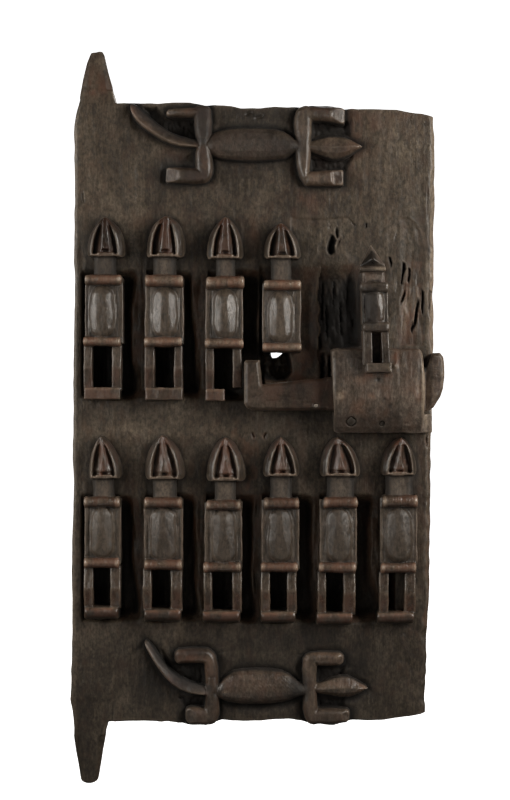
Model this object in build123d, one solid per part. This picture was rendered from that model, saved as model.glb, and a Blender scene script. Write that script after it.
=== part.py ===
from build123d import *
import os
from math import atan, sin, cos, hypot, pi

# ---------------------------------------------------------------------------
# Granary door: one carved plank that turns on two pintles cut in one with it,
# with a wooden tumbler lock nailed to its face.
# Row frame: +Z is the hinge axis through the tips of the two pintles, the
# origin is the tip of the lower pintle, +X runs across the door away from the
# hinge edge, and the carved face looks along -Y.  Millimetres.
# ---------------------------------------------------------------------------

# --- driving dimensions ----------------------------------------------------
CELL = 1.2            # cell of the carver's setting-out grid on the face
SIGHT = 1800.0        # sighting distance: raised work is set out smaller
Y_SET = -15.0         # depth of the setting-out plane
U0, V0 = 255.0, 400.0  # grid point straight in front of the sighting point
LEAN = atan(7.0 / 731.0)   # grid columns lean this much from the hinge axis

Y_BACK = 22.0         # flat back of the plank
Y_FACE = -14.0        # flat bands of the front
Y_POCKET = 5.0        # floor of the deep pockets between the figures
Y_ROUGH = -6.0        # hacked-out ground between the fourth figure and the lock
Y_FIG = -27.0         # flat parts of the figures (arms, legs)
Y_TOP = -38.0         # highest points of the figures

PEG_TIP_R = 7.5       # pintle tip half width

BOLT_Y = (-14.6, -45.0)      # back and front of the bolt
CASE_FRONT = -60.5           # belly of the lock case
SLIDE_GAP = 0.8              # play between bolt and channel
PIN = 6.0                    # square tumbler pins
PIN_LEN = 15.0
PIN_LIFT = 5.0               # the key lifts a pin this far
LOCK_TRAVEL = 79.0           # travel at which the pins meet the bolt's holes
KEYWAY = (14.0, 12.0)        # width (Y) and height (Z) of the keyway
NAIL = 4.4                   # square nail shank


# --- setting out -----------------------------------------------------------
def _off(u, v, y):
    s = 1.0 + (y - Y_SET) / SIGHT
    a, b = (u - U0) * CELL * s, (V0 - v) * CELL * s
    return a * cos(LEAN) - b * sin(LEAN), a * sin(LEAN) + b * cos(LEAN)


_ox, _oz = _off(91.0, 783.0, 0.0)     # tip of the lower pintle


def at(u, v, y=Y_SET):
    """X, Z of grid point (u across, v down) of a detail that lies at depth y."""
    x, z = _off(u, v, y)
    return x - _ox, z - _oz


def prism(pts, y0, y1):
    """Solid over a polygon of X, Z points, between depths y0 < y1."""
    face = Plane.XZ * make_face(Polyline(*[(p[0], p[1]) for p in pts], close=True))
    return Pos(0, y1, 0) * extrude(face, amount=y1 - y0)


def cell_prism(uv, y0, y1, y_set):
    """The same over grid points."""
    return prism([at(u, v, y_set) for u, v in uv], y0, y1)


def block(u0, v0, u1, v1, y0, y1, y_set=None):
    y_set = y0 if y_set is None else y_set
    return cell_prism([(u0, v0), (u1, v0), (u1, v1), (u0, v1)], y0, y1, y_set)


def side_prism(yv, u0, u1):
    """Solid over a side profile of (depth, v) points, from column u0 to u1."""
    um = (u0 + u1) / 2
    pts = [(y, at(um, v, y)[1]) for y, v in yv]
    face = Plane.YZ * make_face(Polyline(*pts, close=True))
    x0 = at(u0, sum(v for _, v in yv) / len(yv), Y_SET)[0]
    x1 = at(u1, sum(v for _, v in yv) / len(yv), Y_SET)[0]
    return Pos(x0, 0, 0) * extrude(face, amount=x1 - x0)


def facets(p, q, radii, lift=0.0):
    """Eight-sided carved bar from p to q; radii are (fraction of the way, radius)."""
    a, b = Vector(*p), Vector(*q)
    z_dir = (b - a).normalized()
    x_dir = Vector(0, 1, 0)
    secs = []
    for t, r in radii:
        o = a + (b - a) * t
        secs.append(Plane(origin=o, x_dir=x_dir, z_dir=z_dir) * RegularPolygon(r / cos(pi / 8), 8, rotation=22.5))
    return loft(secs, ruled=True)


def bar(u0, u1, v0, v1, y_top):
    """Horizontal eight-sided bar of a figure, v0..v1 tall, its crest at y_top."""
    r = (v1 - v0) * CELL / 2 * 0.99
    y = y_top + r
    vm = (v0 + v1) / 2
    (x0, z0), (x1, z1) = at(u0, vm, y), at(u1, vm, y)
    return facets((x0, y, z0), (x1, y, z1), [(0, r), (1, r)])


# --- the plank -------------------------------------------------------------
OUTLINE = [
    (74.3, 121), (79.5, 103), (118, 102), (190, 102.3), (206, 105), (240, 107.5),
    (302, 107), (318, 105.3), (342, 108), (398, 110), (434.6, 114.5), (434.2, 220),
    (433.6, 350), (432, 430), (430.2, 530), (428, 610), (426.3, 690), (425.6, 714),
    (398, 718), (374, 720), (342, 722.5), (318, 724.5), (300, 720), (222, 720.2),
    (190, 724.5), (174, 722), (110, 722.5), (100, 722.5), (73, 715), (70.6, 700),
    (72, 600), (73.2, 480), (74.2, 300)]
plank = cell_prism(OUTLINE, Y_FACE, Y_BACK, Y_FACE)


def peg(rows):
    """Tapered pintle: rows of (v, u left, u right, half depth)."""
    secs = []
    for v, ul, ur, hd in rows:
        (xl, zl), (xr, _) = at(ul, v, 0), at(ur, v, 0)
        c = min(xr - xl, 2 * hd) * 0.26
        secs.append(Plane.XY.offset(zl) * make_face(Polyline(
            (xl, -hd + c), (xl + c, -hd), (xr - c, -hd), (xr, -hd + c),
            (xr, hd - c), (xr - c, hd), (xl + c, hd), (xl, hd - c), close=True)))
    return loft(secs, ruled=True)


upper_peg = peg([(112, 77.5, 113, 13.8), (102, 79.6, 114.6, 13.5), (80, 83.4, 109.8, 11.5),
                 (60, 88.3, 105.6, 8.5), (52, 91.2, 103.8, 6.3)])
lower_peg = peg([(712, 74, 110.5, 13.8), (724, 73.6, 108, 13.5), (745, 76, 103.2, 11),
                 (776, 80.8, 98.6, 8), (783, 85, 96.4, 5.5)])
adds = [upper_peg, lower_peg]
cuts = []

# Deep pockets between the figures: a steep shoulder above and below.
UPPER_POCKET = [(Y_FACE - 2, 273), (Y_POCKET, 284), (Y_POCKET, 389), (Y_FACE - 2, 401)]
LOWER_POCKET = [(Y_FACE - 2, 496), (Y_POCKET, 508), (Y_POCKET, 610), (Y_FACE - 2, 623)]
cuts.append(side_prism(UPPER_POCKET, 88, 262))
cuts.append(side_prism(LOWER_POCKET, 90, 392))
# Hacked-out ground right of the fourth figure, and the rotted hollow below it.
cuts.append(side_prism([(Y_FACE - 2, 268), (Y_ROUGH, 282), (Y_ROUGH, 376), (Y_FACE - 2, 382)], 258, 330))
cuts.append(cell_prism([(262, 352), (290, 353), (293, 372), (284, 381), (264, 381)], Y_FACE - 5, 13.0, Y_FACE))
cuts.append(cell_prism([(270.5, 351.5), (284, 351.5), (280, 355), (277, 358), (271.5, 358)], 0.0, Y_BACK + 5, Y_BACK))


# --- the figures -----------------------------------------------------------
# tip (u, v); head base (u0, u1, v); neck; shoulder bar; barrel; hip bar; legs; foot
FIGURES = [
    # upper row
    dict(tip=(104.9, 216.7), base=(85.6, 125.4, 257), neck=(93.5, 114.9, 273), sh=(84.4, 121.6, 274.3, 285),
         bar=(88.8, 114.9, 288.4, 335.3), arm=(84.4, 122.6), hip=(82.8, 120.3, 336.6, 346.4),
         leg=(83.4, 92.1, 111.6, 121.4), foot=(84.1, 119.6, 387.5, 399.5)),
    dict(tip=(166.6, 213.6), base=(145.8, 185.0, 257.6), neck=(153, 175.2, 273), sh=(144.6, 183.2, 274.3, 287),
         bar=(151, 178.5, 289, 336), arm=(144.4, 183.4), hip=(144.1, 182.1, 336.6, 347.3),
         leg=(144.4, 154.4, 173.8, 182.7), foot=(145, 182.5, 387.5, 400.2)),
    dict(tip=(225.6, 216.7), base=(206, 243.5, 259), neck=(216, 234.8, 274), sh=(206, 244, 275.7, 289),
         bar=(212.7, 237.5, 291, 336.6), arm=(205.4, 242.8), hip=(205.3, 243.5, 338, 348.7),
         leg=(205.3, 214, 232.8, 241.6), foot=(205.3, 224.7, 388.8, 400.9)),
    dict(tip=(280.6, 223.2), base=(263.4, 301.8, 259), neck=(271.4, 291.3, 275.5), sh=(263.7, 301.2, 279.6, 290.3),
         bar=(267.6, 293.6, 293.4, 340.8), arm=(262.2, 301.2), hip=(262.2, 302, 342.4, 352.3),
         leg=None, foot=None),
    # lower row
    dict(tip=(100.4, 436.2), base=(87.9, 122.2, 479), neck=(92.7, 112.6, 495), sh=(83.9, 119.4, 496.2, 508),
         bar=(90.3, 113.4, 510, 554.5), arm=(83.9, 120.4), hip=(83.9, 119.2, 557.4, 568.6),
         leg=(83.9, 92.7, 110.2, 120.6), foot=(83.9, 118.4, 606.8, 620.4)),
    dict(tip=(162.2, 435.4), base=(143.9, 185.2, 480), neck=(152.5, 175.6, 496), sh=(144.5, 182, 496.8, 508.8),
         bar=(149.3, 177.2, 510.4, 559), arm=(143.7, 182.4), hip=(143.7, 182, 559, 571),
         leg=(142.9, 151.4, 170.8, 182), foot=(143.7, 180.6, 609, 623)),
    dict(tip=(225.2, 437.6), base=(206, 245.6, 481.5), neck=(214.7, 235.4, 498), sh=(205.9, 241, 499.6, 511.2),
         bar=(210.7, 237, 512.6, 560.6), arm=(204.3, 242.2), hip=(203.5, 241, 561.8, 572.8),
         leg=(203.5, 212, 232.2, 241.8), foot=(202, 240.2, 610.8, 623.8)),
    dict(tip=(281, 437), base=(262.3, 300.4, 477), neck=(270.7, 291.6, 495.8), sh=(263.8, 299.4, 497.4, 509.6),
         bar=(267.8, 293.2, 512, 559), arm=(261.6, 299.4), hip=(260.4, 297.6, 562, 573),
         leg=(260.6, 270, 287, 296.8), foot=(260.4, 295.6, 611.7, 624)),
    dict(tip=(337.4, 437.4), base=(320, 361, 476.8), neck=(327.4, 354.2, 495), sh=(323.8, 358, 496.7, 508.8),
         bar=(325.6, 352.4, 511, 559), arm=(319.8, 357.2), hip=(318.8, 356.2, 562, 573.6),
         leg=(317.4, 326.2, 343.2, 355.6), foot=(316.4, 353, 613, 626)),
    dict(tip=(401.6, 437.6), base=(380.4, 417.6, 475.8), neck=(386.8, 413.4, 492.6), sh=(382.4, 418, 494.6, 508.6),
         bar=(385.6, 413.4, 511, 558.6), arm=(380.4, 418), hip=(380.6, 416.6, 562.4, 573.8),
         leg=(379.2, 388.6, 404.6, 415.8), foot=(377.8, 414.8, 612.2, 624.8)),
]


def figure(f):
    out, hollow, nose = [], [], []
    (tu, tv), (b0, b1, bv) = f["tip"], f["base"]
    m = (b0 + b1) / 2
    h, w = bv - tv, (b1 - b0) / 2
    # head: a pointed helmet, its face hollowed each side of a long nose
    arch = [(m - w, bv), (m - w, bv - 0.16 * h), (m - 0.86 * w, bv - 0.42 * h), (m - 0.62 * w, bv - 0.68 * h),
            (m - 0.34 * w + 0.2 * (tu - m), bv - 0.88 * h), (tu, tv), (m + 0.34 * w + 0.2 * (tu - m), bv - 0.88 * h),
            (m + 0.62 * w, bv - 0.68 * h), (m + 0.86 * w, bv - 0.42 * h), (m + w, bv - 0.16 * h), (m + w, bv)]
    out.append(cell_prism(arch, -33.0, Y_FACE + 3, -33.0))
    face = [(-0.60, 0.13), (-0.58, 0.45), (-0.36, 0.72), (-0.10, 0.84), (0.10, 0.84), (0.36, 0.72), (0.58, 0.45), (0.60, 0.13)]
    hollow.append(cell_prism([(m + k * w, bv - j * h) for k, j in face], -36.0, -25.0, -33.0))
    nose.append(cell_prism([(m - 0.09 * w, bv - 0.78 * h), (m + 0.09 * w, bv - 0.78 * h), (m + 0.30 * w, bv - 0.27 * h),
                            (m - 0.30 * w, bv - 0.27 * h)], -36.5, -20.0, -35.0))
    # neck
    n0, n1, nv = f["neck"]
    r = (n1 - n0) * CELL / 2 * 0.98
    (x, z0), (_, z1) = at((n0 + n1) / 2, bv - 3, -22), at((n0 + n1) / 2, nv + 4, -22)
    out.append(facets((x, -28.5 + r, z1), (x, -28.5 + r, z0), [(0, r), (1, r)]))
    # shoulder bar, body slab with its arms, belly, hip bar
    s0, s1, sv0, sv1 = f["sh"]
    out.append(bar(s0, s1, sv0, sv1, Y_TOP + 1.0))
    h0, h1, hv0, hv1 = f["hip"]
    a0, a1 = f["arm"]
    out.append(block(a0, sv0 + 2, a1, hv1 - 2, Y_FIG, Y_BACK - 6, Y_FIG))
    g0, g1, gv0, gv1 = f["bar"]
    (x, z0), (_, z1) = at((g0 + g1) / 2, gv0, -33), at((g0 + g1) / 2, gv1, -33)
    r = (g1 - g0) * CELL / 2 * 0.98
    yb = Y_TOP + 1.5 + r
    belly = facets((x, yb, z1), (x, yb, z0), [(0, r - 4.5), (0.17, r), (0.83, r), (1, r - 4.5)])
    out.append(belly)
    out.append(bar(h0, h1, hv0, hv1, Y_TOP + 1.0))
    # legs and foot bar
    if f["leg"]:
        l0, l1, l2, l3 = f["leg"]
        fv0, fv1 = f["foot"][2], f["foot"][3]
        out.append(block(l0, hv1 - 3, l1, fv0 + 2, Y_FIG - 3, Y_BACK - 6, Y_FIG))
        out.append(block(l2, hv1 - 3, l3, fv0 + (2 if f["foot"][1] > l2 else -1), Y_FIG - 3, Y_BACK - 6, Y_FIG))
        out.append(block(f["foot"][0], fv0, f["foot"][1], fv1, Y_TOP + 4, Y_BACK - 6, Y_TOP + 4))
    return out, hollow, nose


head_hollows, noses = [], []
for f in FIGURES:
    o, h, n = figure(f)
    adds += o
    head_hollows += h
    noses += n


# --- the two crocodiles ----------------------------------------------------
def spine(pts, y_top):
    """Tapering raised strip along (u, v, half width) points."""
    left, right = [], []
    for i, (u, v, w) in enumerate(pts):
        a, b = pts[max(i - 1, 0)], pts[min(i + 1, len(pts) - 1)]
        du, dv = b[0] - a[0], b[1] - a[1]
        n = hypot(du, dv)
        left.append((u + dv / n * w, v - du / n * w))
        right.append((u - dv / n * w, v + du / n * w))
    return cell_prism(left + right[::-1], y_top, Y_FACE + 3, y_top)


Y_CROC = -25.0
crocs = [
    # upper: tail, hind legs, body, fore legs, head
    spine([(132, 104.6, 2.6), (137, 120, 4.2), (149, 133, 5), (166, 140.5, 5.2), (186, 143.5, 5), (200, 143.5, 5)], Y_CROC + 2),
    cell_prism([(167, 109.2), (196, 108.6), (207, 106.5), (209, 113), (209, 142), (194, 142), (194, 117), (168, 116.6)], Y_CROC, Y_FACE + 3, Y_CROC),
    cell_prism([(195, 146), (211, 146), (213, 160), (209, 175), (205, 181.4), (166.5, 181.6), (166.5, 168), (190, 165.5), (196, 160)], Y_CROC, Y_FACE + 3, Y_CROC),
    cell_prism([(196, 141), (212, 136), (226, 128), (243, 125.6), (266, 128.6), (284, 135), (300, 141), (300, 150), (282, 154),
                (264, 159), (243, 160.6), (226, 158.4), (211, 152), (196, 147)], Y_CROC - 2, Y_FACE + 3, Y_CROC),
    cell_prism([(294.5, 112), (306, 108.6), (344.4, 109.6), (344.4, 121.5), (312, 122), (311, 140), (311, 168), (343, 171),
                (342.6, 185.8), (304, 183), (294.5, 176), (292.6, 150), (292.6, 138)], Y_CROC, Y_FACE + 3, Y_CROC),
    cell_prism([(308, 140), (322, 137.6), (336, 135.8), (346, 137.4), (362, 145.6), (346, 154.6), (336, 157.8), (322, 155), (308, 152)],
               Y_CROC - 1, Y_FACE + 3, Y_CROC),
    # lower
    spine([(146, 643, 2.6), (153, 657, 4.0), (162, 670, 5), (178, 682.5, 5.4), (198, 689.5, 5.4), (216, 691, 5)], Y_CROC + 2),
    cell_prism([(175, 651.5), (190, 650), (207, 654), (217, 662), (217, 690), (204, 690), (203, 668), (190, 662), (175, 662)], Y_CROC, Y_FACE + 3, Y_CROC),
    cell_prism([(205.6, 694), (218.6, 694), (219, 714), (214, 724.6), (186, 724.6), (186, 712.6), (204, 711)], Y_CROC, Y_FACE + 3, Y_CROC),
    cell_prism([(214, 684), (226, 675.6), (243, 671.4), (262, 671.4), (284, 677.6), (303, 684.4), (303, 692.6), (284, 698.6), (262, 704.4),
                (243, 705.6), (226, 701.4), (214, 693)], Y_CROC - 2, Y_FACE + 3, Y_CROC),
    cell_prism([(301, 660), (312, 653), (342, 653.6), (342, 667), (320, 668), (317, 680), (317.4, 708), (348, 710.4), (348, 724.4),
                (308, 724), (301, 716)], Y_CROC, Y_FACE + 3, Y_CROC),
    cell_prism([(314, 682), (330, 678.6), (346, 676.4), (356, 679.6), (366.6, 687.8), (356, 695.6), (346, 698.8), (330, 697), (314, 694)],
               Y_CROC - 1, Y_FACE + 3, Y_CROC),
]
adds += crocs

plank = plank.cut(*cuts)
plank = plank.fuse(*adds)
plank = plank.cut(*head_hollows)
plank = plank.fuse(*noses)

# --- the lock: bolt --------------------------------------------------------
YB = BOLT_Y[1]
bx = lambda u, v: at(u, v, YB)
z_under = bx(330, 411.4)[1]                       # straight underside
BOLT = [bx(243.8, 361), bx(245.4, 359.9), bx(259.7, 359.9), bx(262.8, 383.7), bx(424.8, 367.0), bx(431.4, 353.4),
        bx(440.4, 352.4), bx(444.6, 357.5), bx(445.4, 370), bx(444.6, 386), bx(441, 396.5),
        (bx(434, 405)[0], z_under + 5.0), (bx(429, 405)[0], z_under), (bx(251, 405)[0], z_under),
        (bx(244.4, 405)[0], z_under + 6.0)]
lock_bolt = prism(BOLT, BOLT_Y[1], BOLT_Y[0])
x_top0, z_top0 = bx(262.8, 383.7)
x_top1, z_top1 = bx(424.8, 367.0)


def bolt_top(x):
    """Height of the bolt's sloping upper edge at x, at rest."""
    return z_top0 + (z_top1 - z_top0) * (x - x_top0) / (x_top1 - x_top0)


Y_PIN = -30.0
PIN_X = [at(u, 370, Y_PIN)[0] for u in (353, 370, 387)]
key_z = z_under + 11.0
key_len = PIN_X[2] - LOCK_TRAVEL + 6.0
x_left = bx(243.8, 361)[0]
keyway = Pos((x_left - 5 + key_len) / 2, Y_PIN, key_z + KEYWAY[1] / 2) * Box(key_len - x_left + 5, KEYWAY[0], KEYWAY[1])
pin_holes = [Pos(x - LOCK_TRAVEL, Y_PIN, key_z + KEYWAY[1] - 1 + 20) * Box(PIN + 1.2, PIN + 1.2, 40) for x in PIN_X]
lock_bolt = lock_bolt.cut(keyway, *pin_holes)

# small tack in the face of the bolt, its head flush
tx, tz = at(316, 405.8, YB)
bolt_nail = (Solid.make_cylinder(1.3, 13, Plane(origin=(tx, YB + 14, tz), z_dir=(0, -1, 0)))
             .fuse(Solid.make_cylinder(2.4, 1.3, Plane(origin=(tx, YB + 1.1, tz), z_dir=(0, -1, 0)))))
lock_bolt = lock_bolt.cut(bolt_nail)

# --- the lock: case --------------------------------------------------------
CASE_SIDE = [(Y_FACE, 348.6), (-50.0, 348.6), (-54.0, 350.5), (-58.0, 360), (-60.2, 372), (CASE_FRONT, 385), (-59.6, 398),
             (-57.0, 408), (-52.0, 417), (-45.0, 426), (-38.5, 432.6), (Y_FACE, 432.6)]
case = side_prism(CASE_SIDE, 318, 440)
YC = -56.0
case = case & cell_prism([(332.2, 340), (421.9, 340), (424.6, 440), (335.6, 440)], CASE_FRONT - 5, Y_FACE + 5, YC)
# the rail under the bolt runs on to the edge of the door
rail = side_prism([(Y_FACE, 414), (-40.0, 414), (-40.0, 428), (-36.0, 432.6), (Y_FACE, 432.6)], 400, 431.0)
case = case.fuse(rail)

# its figure: roof-shaped head, neck, bars, body, legs and foot block
YF = -70.0


def lf(uv, y0, y1):
    return cell_prism(uv, y0, y1, -66.0)


fig = [
    lf([(370.5, 248), (384.5, 266), (385, 272), (360.5, 272.6), (360.3, 267)], -66, -46),
    lf([(365.5, 270), (382, 270), (382.6, 285), (365.6, 285)], -64, -46),
    lf([(361, 283), (388, 282.6), (388.6, 292), (361.4, 292.4)], -69, -44),
    lf([(361.6, 290), (388, 290), (389, 324), (363, 324)], -64, -44),
    lf([(365.4, 292), (384.6, 292), (385.6, 321), (366.4, 321)], -69, -50),
    lf([(363.4, 321.6), (389, 321.4), (389.6, 331.4), (364, 331.8)], -69.5, -44),
    lf([(364, 330), (373, 330), (374, 365), (365, 365)], -66, -44),
    lf([(382.6, 330), (389.6, 330), (391, 365), (383.4, 365)], -66, -44),
    lf([(372, 330), (384, 330), (385, 352), (373, 352)], -47, -44),
    lf([(365.4, 362.6), (390.6, 362.4), (391, 373.2), (366, 373.4)], YF, -50),
]
case = case.fuse(*fig)
case = case.cut(lf([(373.4, 331.8), (382.8, 331.6), (383.6, 362.6), (374.4, 362.8)], -80, -50))

# bolt channel: open to the back, its roof parallel to the bolt's upper edge
x_a, x_b = at(318, 390, YC)[0], at(440, 390, YC)[0]
channel = prism([(x_a, z_under - SLIDE_GAP / 2), (x_b, z_under - SLIDE_GAP / 2), (x_b, bolt_top(x_b) + SLIDE_GAP),
                 (x_a, bolt_top(x_a) + SLIDE_GAP)], YB - SLIDE_GAP, Y_FACE + 1)
case = case.cut(channel)

# tumbler chambers above it, and their pins resting on the bolt
pins = []
for x in PIN_X:
    z0 = max(bolt_top(x - PIN / 2), bolt_top(x + PIN / 2)) + 0.3
    pins.append(Pos(x, Y_PIN, z0 + PIN_LEN / 2) * Box(PIN, PIN, PIN_LEN))
    top = z0 + PIN_LEN + PIN_LIFT + 0.5
    case = case.cut(Pos(x, Y_PIN, (z0 - 3 + top) / 2) * Box(PIN + 0.8, PIN + 0.8, top - z0 + 3))


# --- nails -----------------------------------------------------------------
def nail(x, z, y_head, y_point, head, thick):
    """Square forged nail along Y, head at y_head, point at y_point."""
    d = 1 if y_point > y_head else -1
    shank = Pos(x, (y_head + y_point) / 2, z) * Box(NAIL, abs(y_point - y_head), NAIL)
    cap = Pos(x, y_head + d * thick / 2, z) * (Rot(0, 18, 0) * Box(head, thick, head))
    return shank.fuse(cap)


n1x, n1z = at(351.3, 421.6, -51)
n2x, n2z = at(382.2, 423.6, -49)
nail_ll = nail(n1x, n1z, -52.5, 12.0, 8.6, 5.0)
nail_lr = nail(n2x, n2z, -49.8, 12.0, 5.6, 4.0)
n3x, n3z = at(342.5, 357.5, -20)
n4x, n4z = at(410.5, 356.5, -20)
nail_bl = nail(n3x, n3z, Y_BACK - 0.2, -38.0, 9.0, 3.0)
nail_br = nail(n4x, n4z, Y_BACK - 0.2, -38.0, 9.0, 3.0)
for n in (nail_ll, nail_lr, nail_bl, nail_br):
    case = case.cut(n)
    plank = plank.cut(n)
# the sunk heads at the back: clear the skin of wood in front of each
for x, z in ((n3x, n3z), (n4x, n4z)):
    plank = plank.cut(Pos(x, Y_BACK, z) * (Rot(0, 18, 0) * Box(9.0, 0.6, 9.0)))

# --- write -----------------------------------------------------------------
NODES = {
    "door_plank": plank,
    "lock_case": case,
    "lock_bolt": lock_bolt,
    "tumbler_pin_left": pins[0],
    "tumbler_pin_middle": pins[1],
    "tumbler_pin_right": pins[2],
    "case_nail_lower_left": nail_ll,
    "case_nail_lower_right": nail_lr,
    "case_nail_back_left": nail_bl,
    "case_nail_back_right": nail_br,
    "bolt_nail": bolt_nail,
}
os.makedirs("parts", exist_ok=True)
for name, shape in NODES.items():
    if isinstance(shape, ShapeList):
        shape = Compound(children=list(shape))
    export_step(shape, "parts/%s.step" % name)
    bb = shape.bounding_box()
    print(name, "solids", len(shape.solids()), "vol %.0f" % shape.volume, "valid", shape.is_valid,
          "min (%.1f %.1f %.1f) max (%.1f %.1f %.1f)" % (*bb.min, *bb.max))

hx = at(262.8, 383.7, YB)[0]
print("bolt travel to the case: %.1f" % (at(334.0, 376, -14.6)[0] - hx))
print("upper tip", at(97.5, 52, 0), "pins x", PIN_X, "z_under", z_under, "key z", key_z, "key end x", key_len,
      "bolt left x", x_left, "case left", at(332.4, 350, YC), at(335.4, 432, YC), "case right", at(422, 350, YC), at(424.4, 432, YC))
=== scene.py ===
import math

import bpy
import numpy as np
from mathutils import Matrix, Vector


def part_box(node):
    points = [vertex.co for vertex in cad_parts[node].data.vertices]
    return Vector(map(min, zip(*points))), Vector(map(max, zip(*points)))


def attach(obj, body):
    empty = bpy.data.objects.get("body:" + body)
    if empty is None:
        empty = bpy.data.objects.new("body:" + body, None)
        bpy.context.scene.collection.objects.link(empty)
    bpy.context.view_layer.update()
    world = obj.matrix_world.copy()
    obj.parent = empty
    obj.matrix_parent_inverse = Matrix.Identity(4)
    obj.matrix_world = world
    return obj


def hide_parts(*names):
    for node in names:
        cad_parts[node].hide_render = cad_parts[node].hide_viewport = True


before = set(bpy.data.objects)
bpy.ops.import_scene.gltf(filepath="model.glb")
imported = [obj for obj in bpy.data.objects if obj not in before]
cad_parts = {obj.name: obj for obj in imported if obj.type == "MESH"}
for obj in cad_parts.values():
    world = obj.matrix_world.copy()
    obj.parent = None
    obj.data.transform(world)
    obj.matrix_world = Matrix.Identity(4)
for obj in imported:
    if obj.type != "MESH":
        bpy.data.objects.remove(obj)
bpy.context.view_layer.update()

COARSE = 1.0

# ---------------------------------------------------------------------------
# Setting out.  Work is described in a face grid (u across, v down, 1.2 mm) seen
# from SIGHT in front of the face; a, b are millimetres across and up in that
# grid's own directions, y is depth (towards the viewer is negative).
# ---------------------------------------------------------------------------
CELL, SIGHT, Y_SET = 1.2, 1800.0, -15.0
LEAN = math.atan(7.0 / 731.0)
CT, ST = math.cos(LEAN), math.sin(LEAN)


def sc(y):
    return 1.0 + (y - Y_SET) / SIGHT


def ga(u, y=-15.0):
    return (u - 255.0) * CELL * sc(y)


def gb(v, y=-15.0):
    return (400.0 - v) * CELL * sc(y)


_a, _b = ga(91.0, 0.0), gb(783.0, 0.0)
XC, ZC = -(_a * CT - _b * ST), -(_a * ST + _b * CT)


def xz(u, v, y):
    """World X, Z in mm of a face-grid place at depth y."""
    a, b = ga(u, y), gb(v, y)
    return XC + a * CT - b * ST, ZC + a * ST + b * CT


# ---------------------------------------------------------------------------
# Distance-field carving
# ---------------------------------------------------------------------------
F32 = np.float32


def smin(a, b, k):
    h = np.maximum(k - np.abs(a - b), 0) / k
    return np.minimum(a, b) - h * h * (k * 0.25)


def smax(a, b, k):
    h = np.maximum(k - np.abs(a - b), 0) / k
    return np.maximum(a, b) + h * h * (k * 0.25)


def hyp(a, b):
    return np.sqrt(a * a + b * b)


def box2(x, y, hx, hy, r):
    """2-D rounded box, centred."""
    qx, qy = np.abs(x) - (hx - r), np.abs(y) - (hy - r)
    return hyp(np.maximum(qx, 0), np.maximum(qy, 0)) + np.minimum(np.maximum(qx, qy), 0) - r


def lift(d2, y, hy, r):
    """A 2-D distance swept over |y| < hy, its edges rounded by r."""
    qx, qy = d2 + r, np.abs(y) - (hy - r)
    return hyp(np.maximum(qx, 0), np.maximum(qy, 0)) + np.minimum(np.maximum(qx, qy), 0) - r


def box3(x, y, z, hx, hy, hz, r):
    return lift(box2(x, z, hx, hz, r), y, hy, r)


def poly2(p, q, pts):
    """Signed distance to a closed polygon, negative inside."""
    d = np.full(np.broadcast(p, q).shape, 1e9, F32)
    s = np.ones(d.shape, F32)
    n = len(pts)
    for i in range(n):
        ax, ay = pts[i]
        bx, by = pts[i - 1]
        ex, ey = bx - ax, by - ay
        wx, wy = p - ax, q - ay
        t = np.clip((wx * ex + wy * ey) / (ex * ex + ey * ey), 0, 1)
        d = np.minimum(d, (wx - ex * t) ** 2 + (wy - ey * t) ** 2)
        c1, c2, c3 = q >= ay, q < by, ex * wy > ey * wx
        flip = (c1 & c2 & c3) | (~c1 & ~c2 & ~c3)
        s = np.where(flip, -s, s)
    return s * np.sqrt(d)


def line2(p, q, pts):
    """Distance to a polyline of (p, q, radius) points, less its radius there."""
    d = np.full(np.broadcast(p, q).shape, 1e9, F32)
    for (ax, ay, ar), (bx, by, br) in zip(pts[:-1], pts[1:]):
        ex, ey = bx - ax, by - ay
        wx, wy = p - ax, q - ay
        t = np.clip((wx * ex + wy * ey) / (ex * ex + ey * ey), 0, 1)
        d = np.minimum(d, hyp(wx - ex * t, wy - ey * t) - (ar + (br - ar) * t))
    return d


def _spline(x, cell, off):
    t = (x - x.min()) / cell + off
    i = np.floor(t).astype(int)
    f = t - i
    w = np.zeros((len(x), i.max() + 4), F32)
    r = np.arange(len(x))
    w[r, i] = (1 - f) ** 3 / 6
    w[r, i + 1] = (3 * f ** 3 - 6 * f ** 2 + 4) / 6
    w[r, i + 2] = (-3 * f ** 3 + 3 * f ** 2 + 3 * f + 1) / 6
    w[r, i + 3] = f ** 3 / 6
    return w


def noise2(x, z, cell, seed):
    """Smooth noise of about unit spread over 1-D coordinates x and z."""
    rs = np.random.RandomState(seed)
    wx, wz = _spline(x, cell[0], rs.rand()), _spline(z, cell[1], rs.rand())
    lat = rs.uniform(-1, 1, (wx.shape[1], wz.shape[1])).astype(F32)
    return (wx @ lat @ wz.T) / (0.577 * 0.479)


def noise3(x, y, z, cell, seed):
    rs = np.random.RandomState(seed)
    wx, wy, wz = _spline(x, cell[0], rs.rand()), _spline(y, cell[1], rs.rand()), _spline(z, cell[2], rs.rand())
    lat = rs.uniform(-1, 1, (wx.shape[1], wy.shape[1], wz.shape[1])).astype(F32)
    n = np.tensordot(lat, wz, (2, 1))                    # ma, my, nz
    n = np.tensordot(wy, n, (1, 1))                      # ny, ma, nz
    n = np.tensordot(wx, n, (1, 1))                      # nx, ny, nz
    return n / (0.577 * 0.332)


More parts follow.
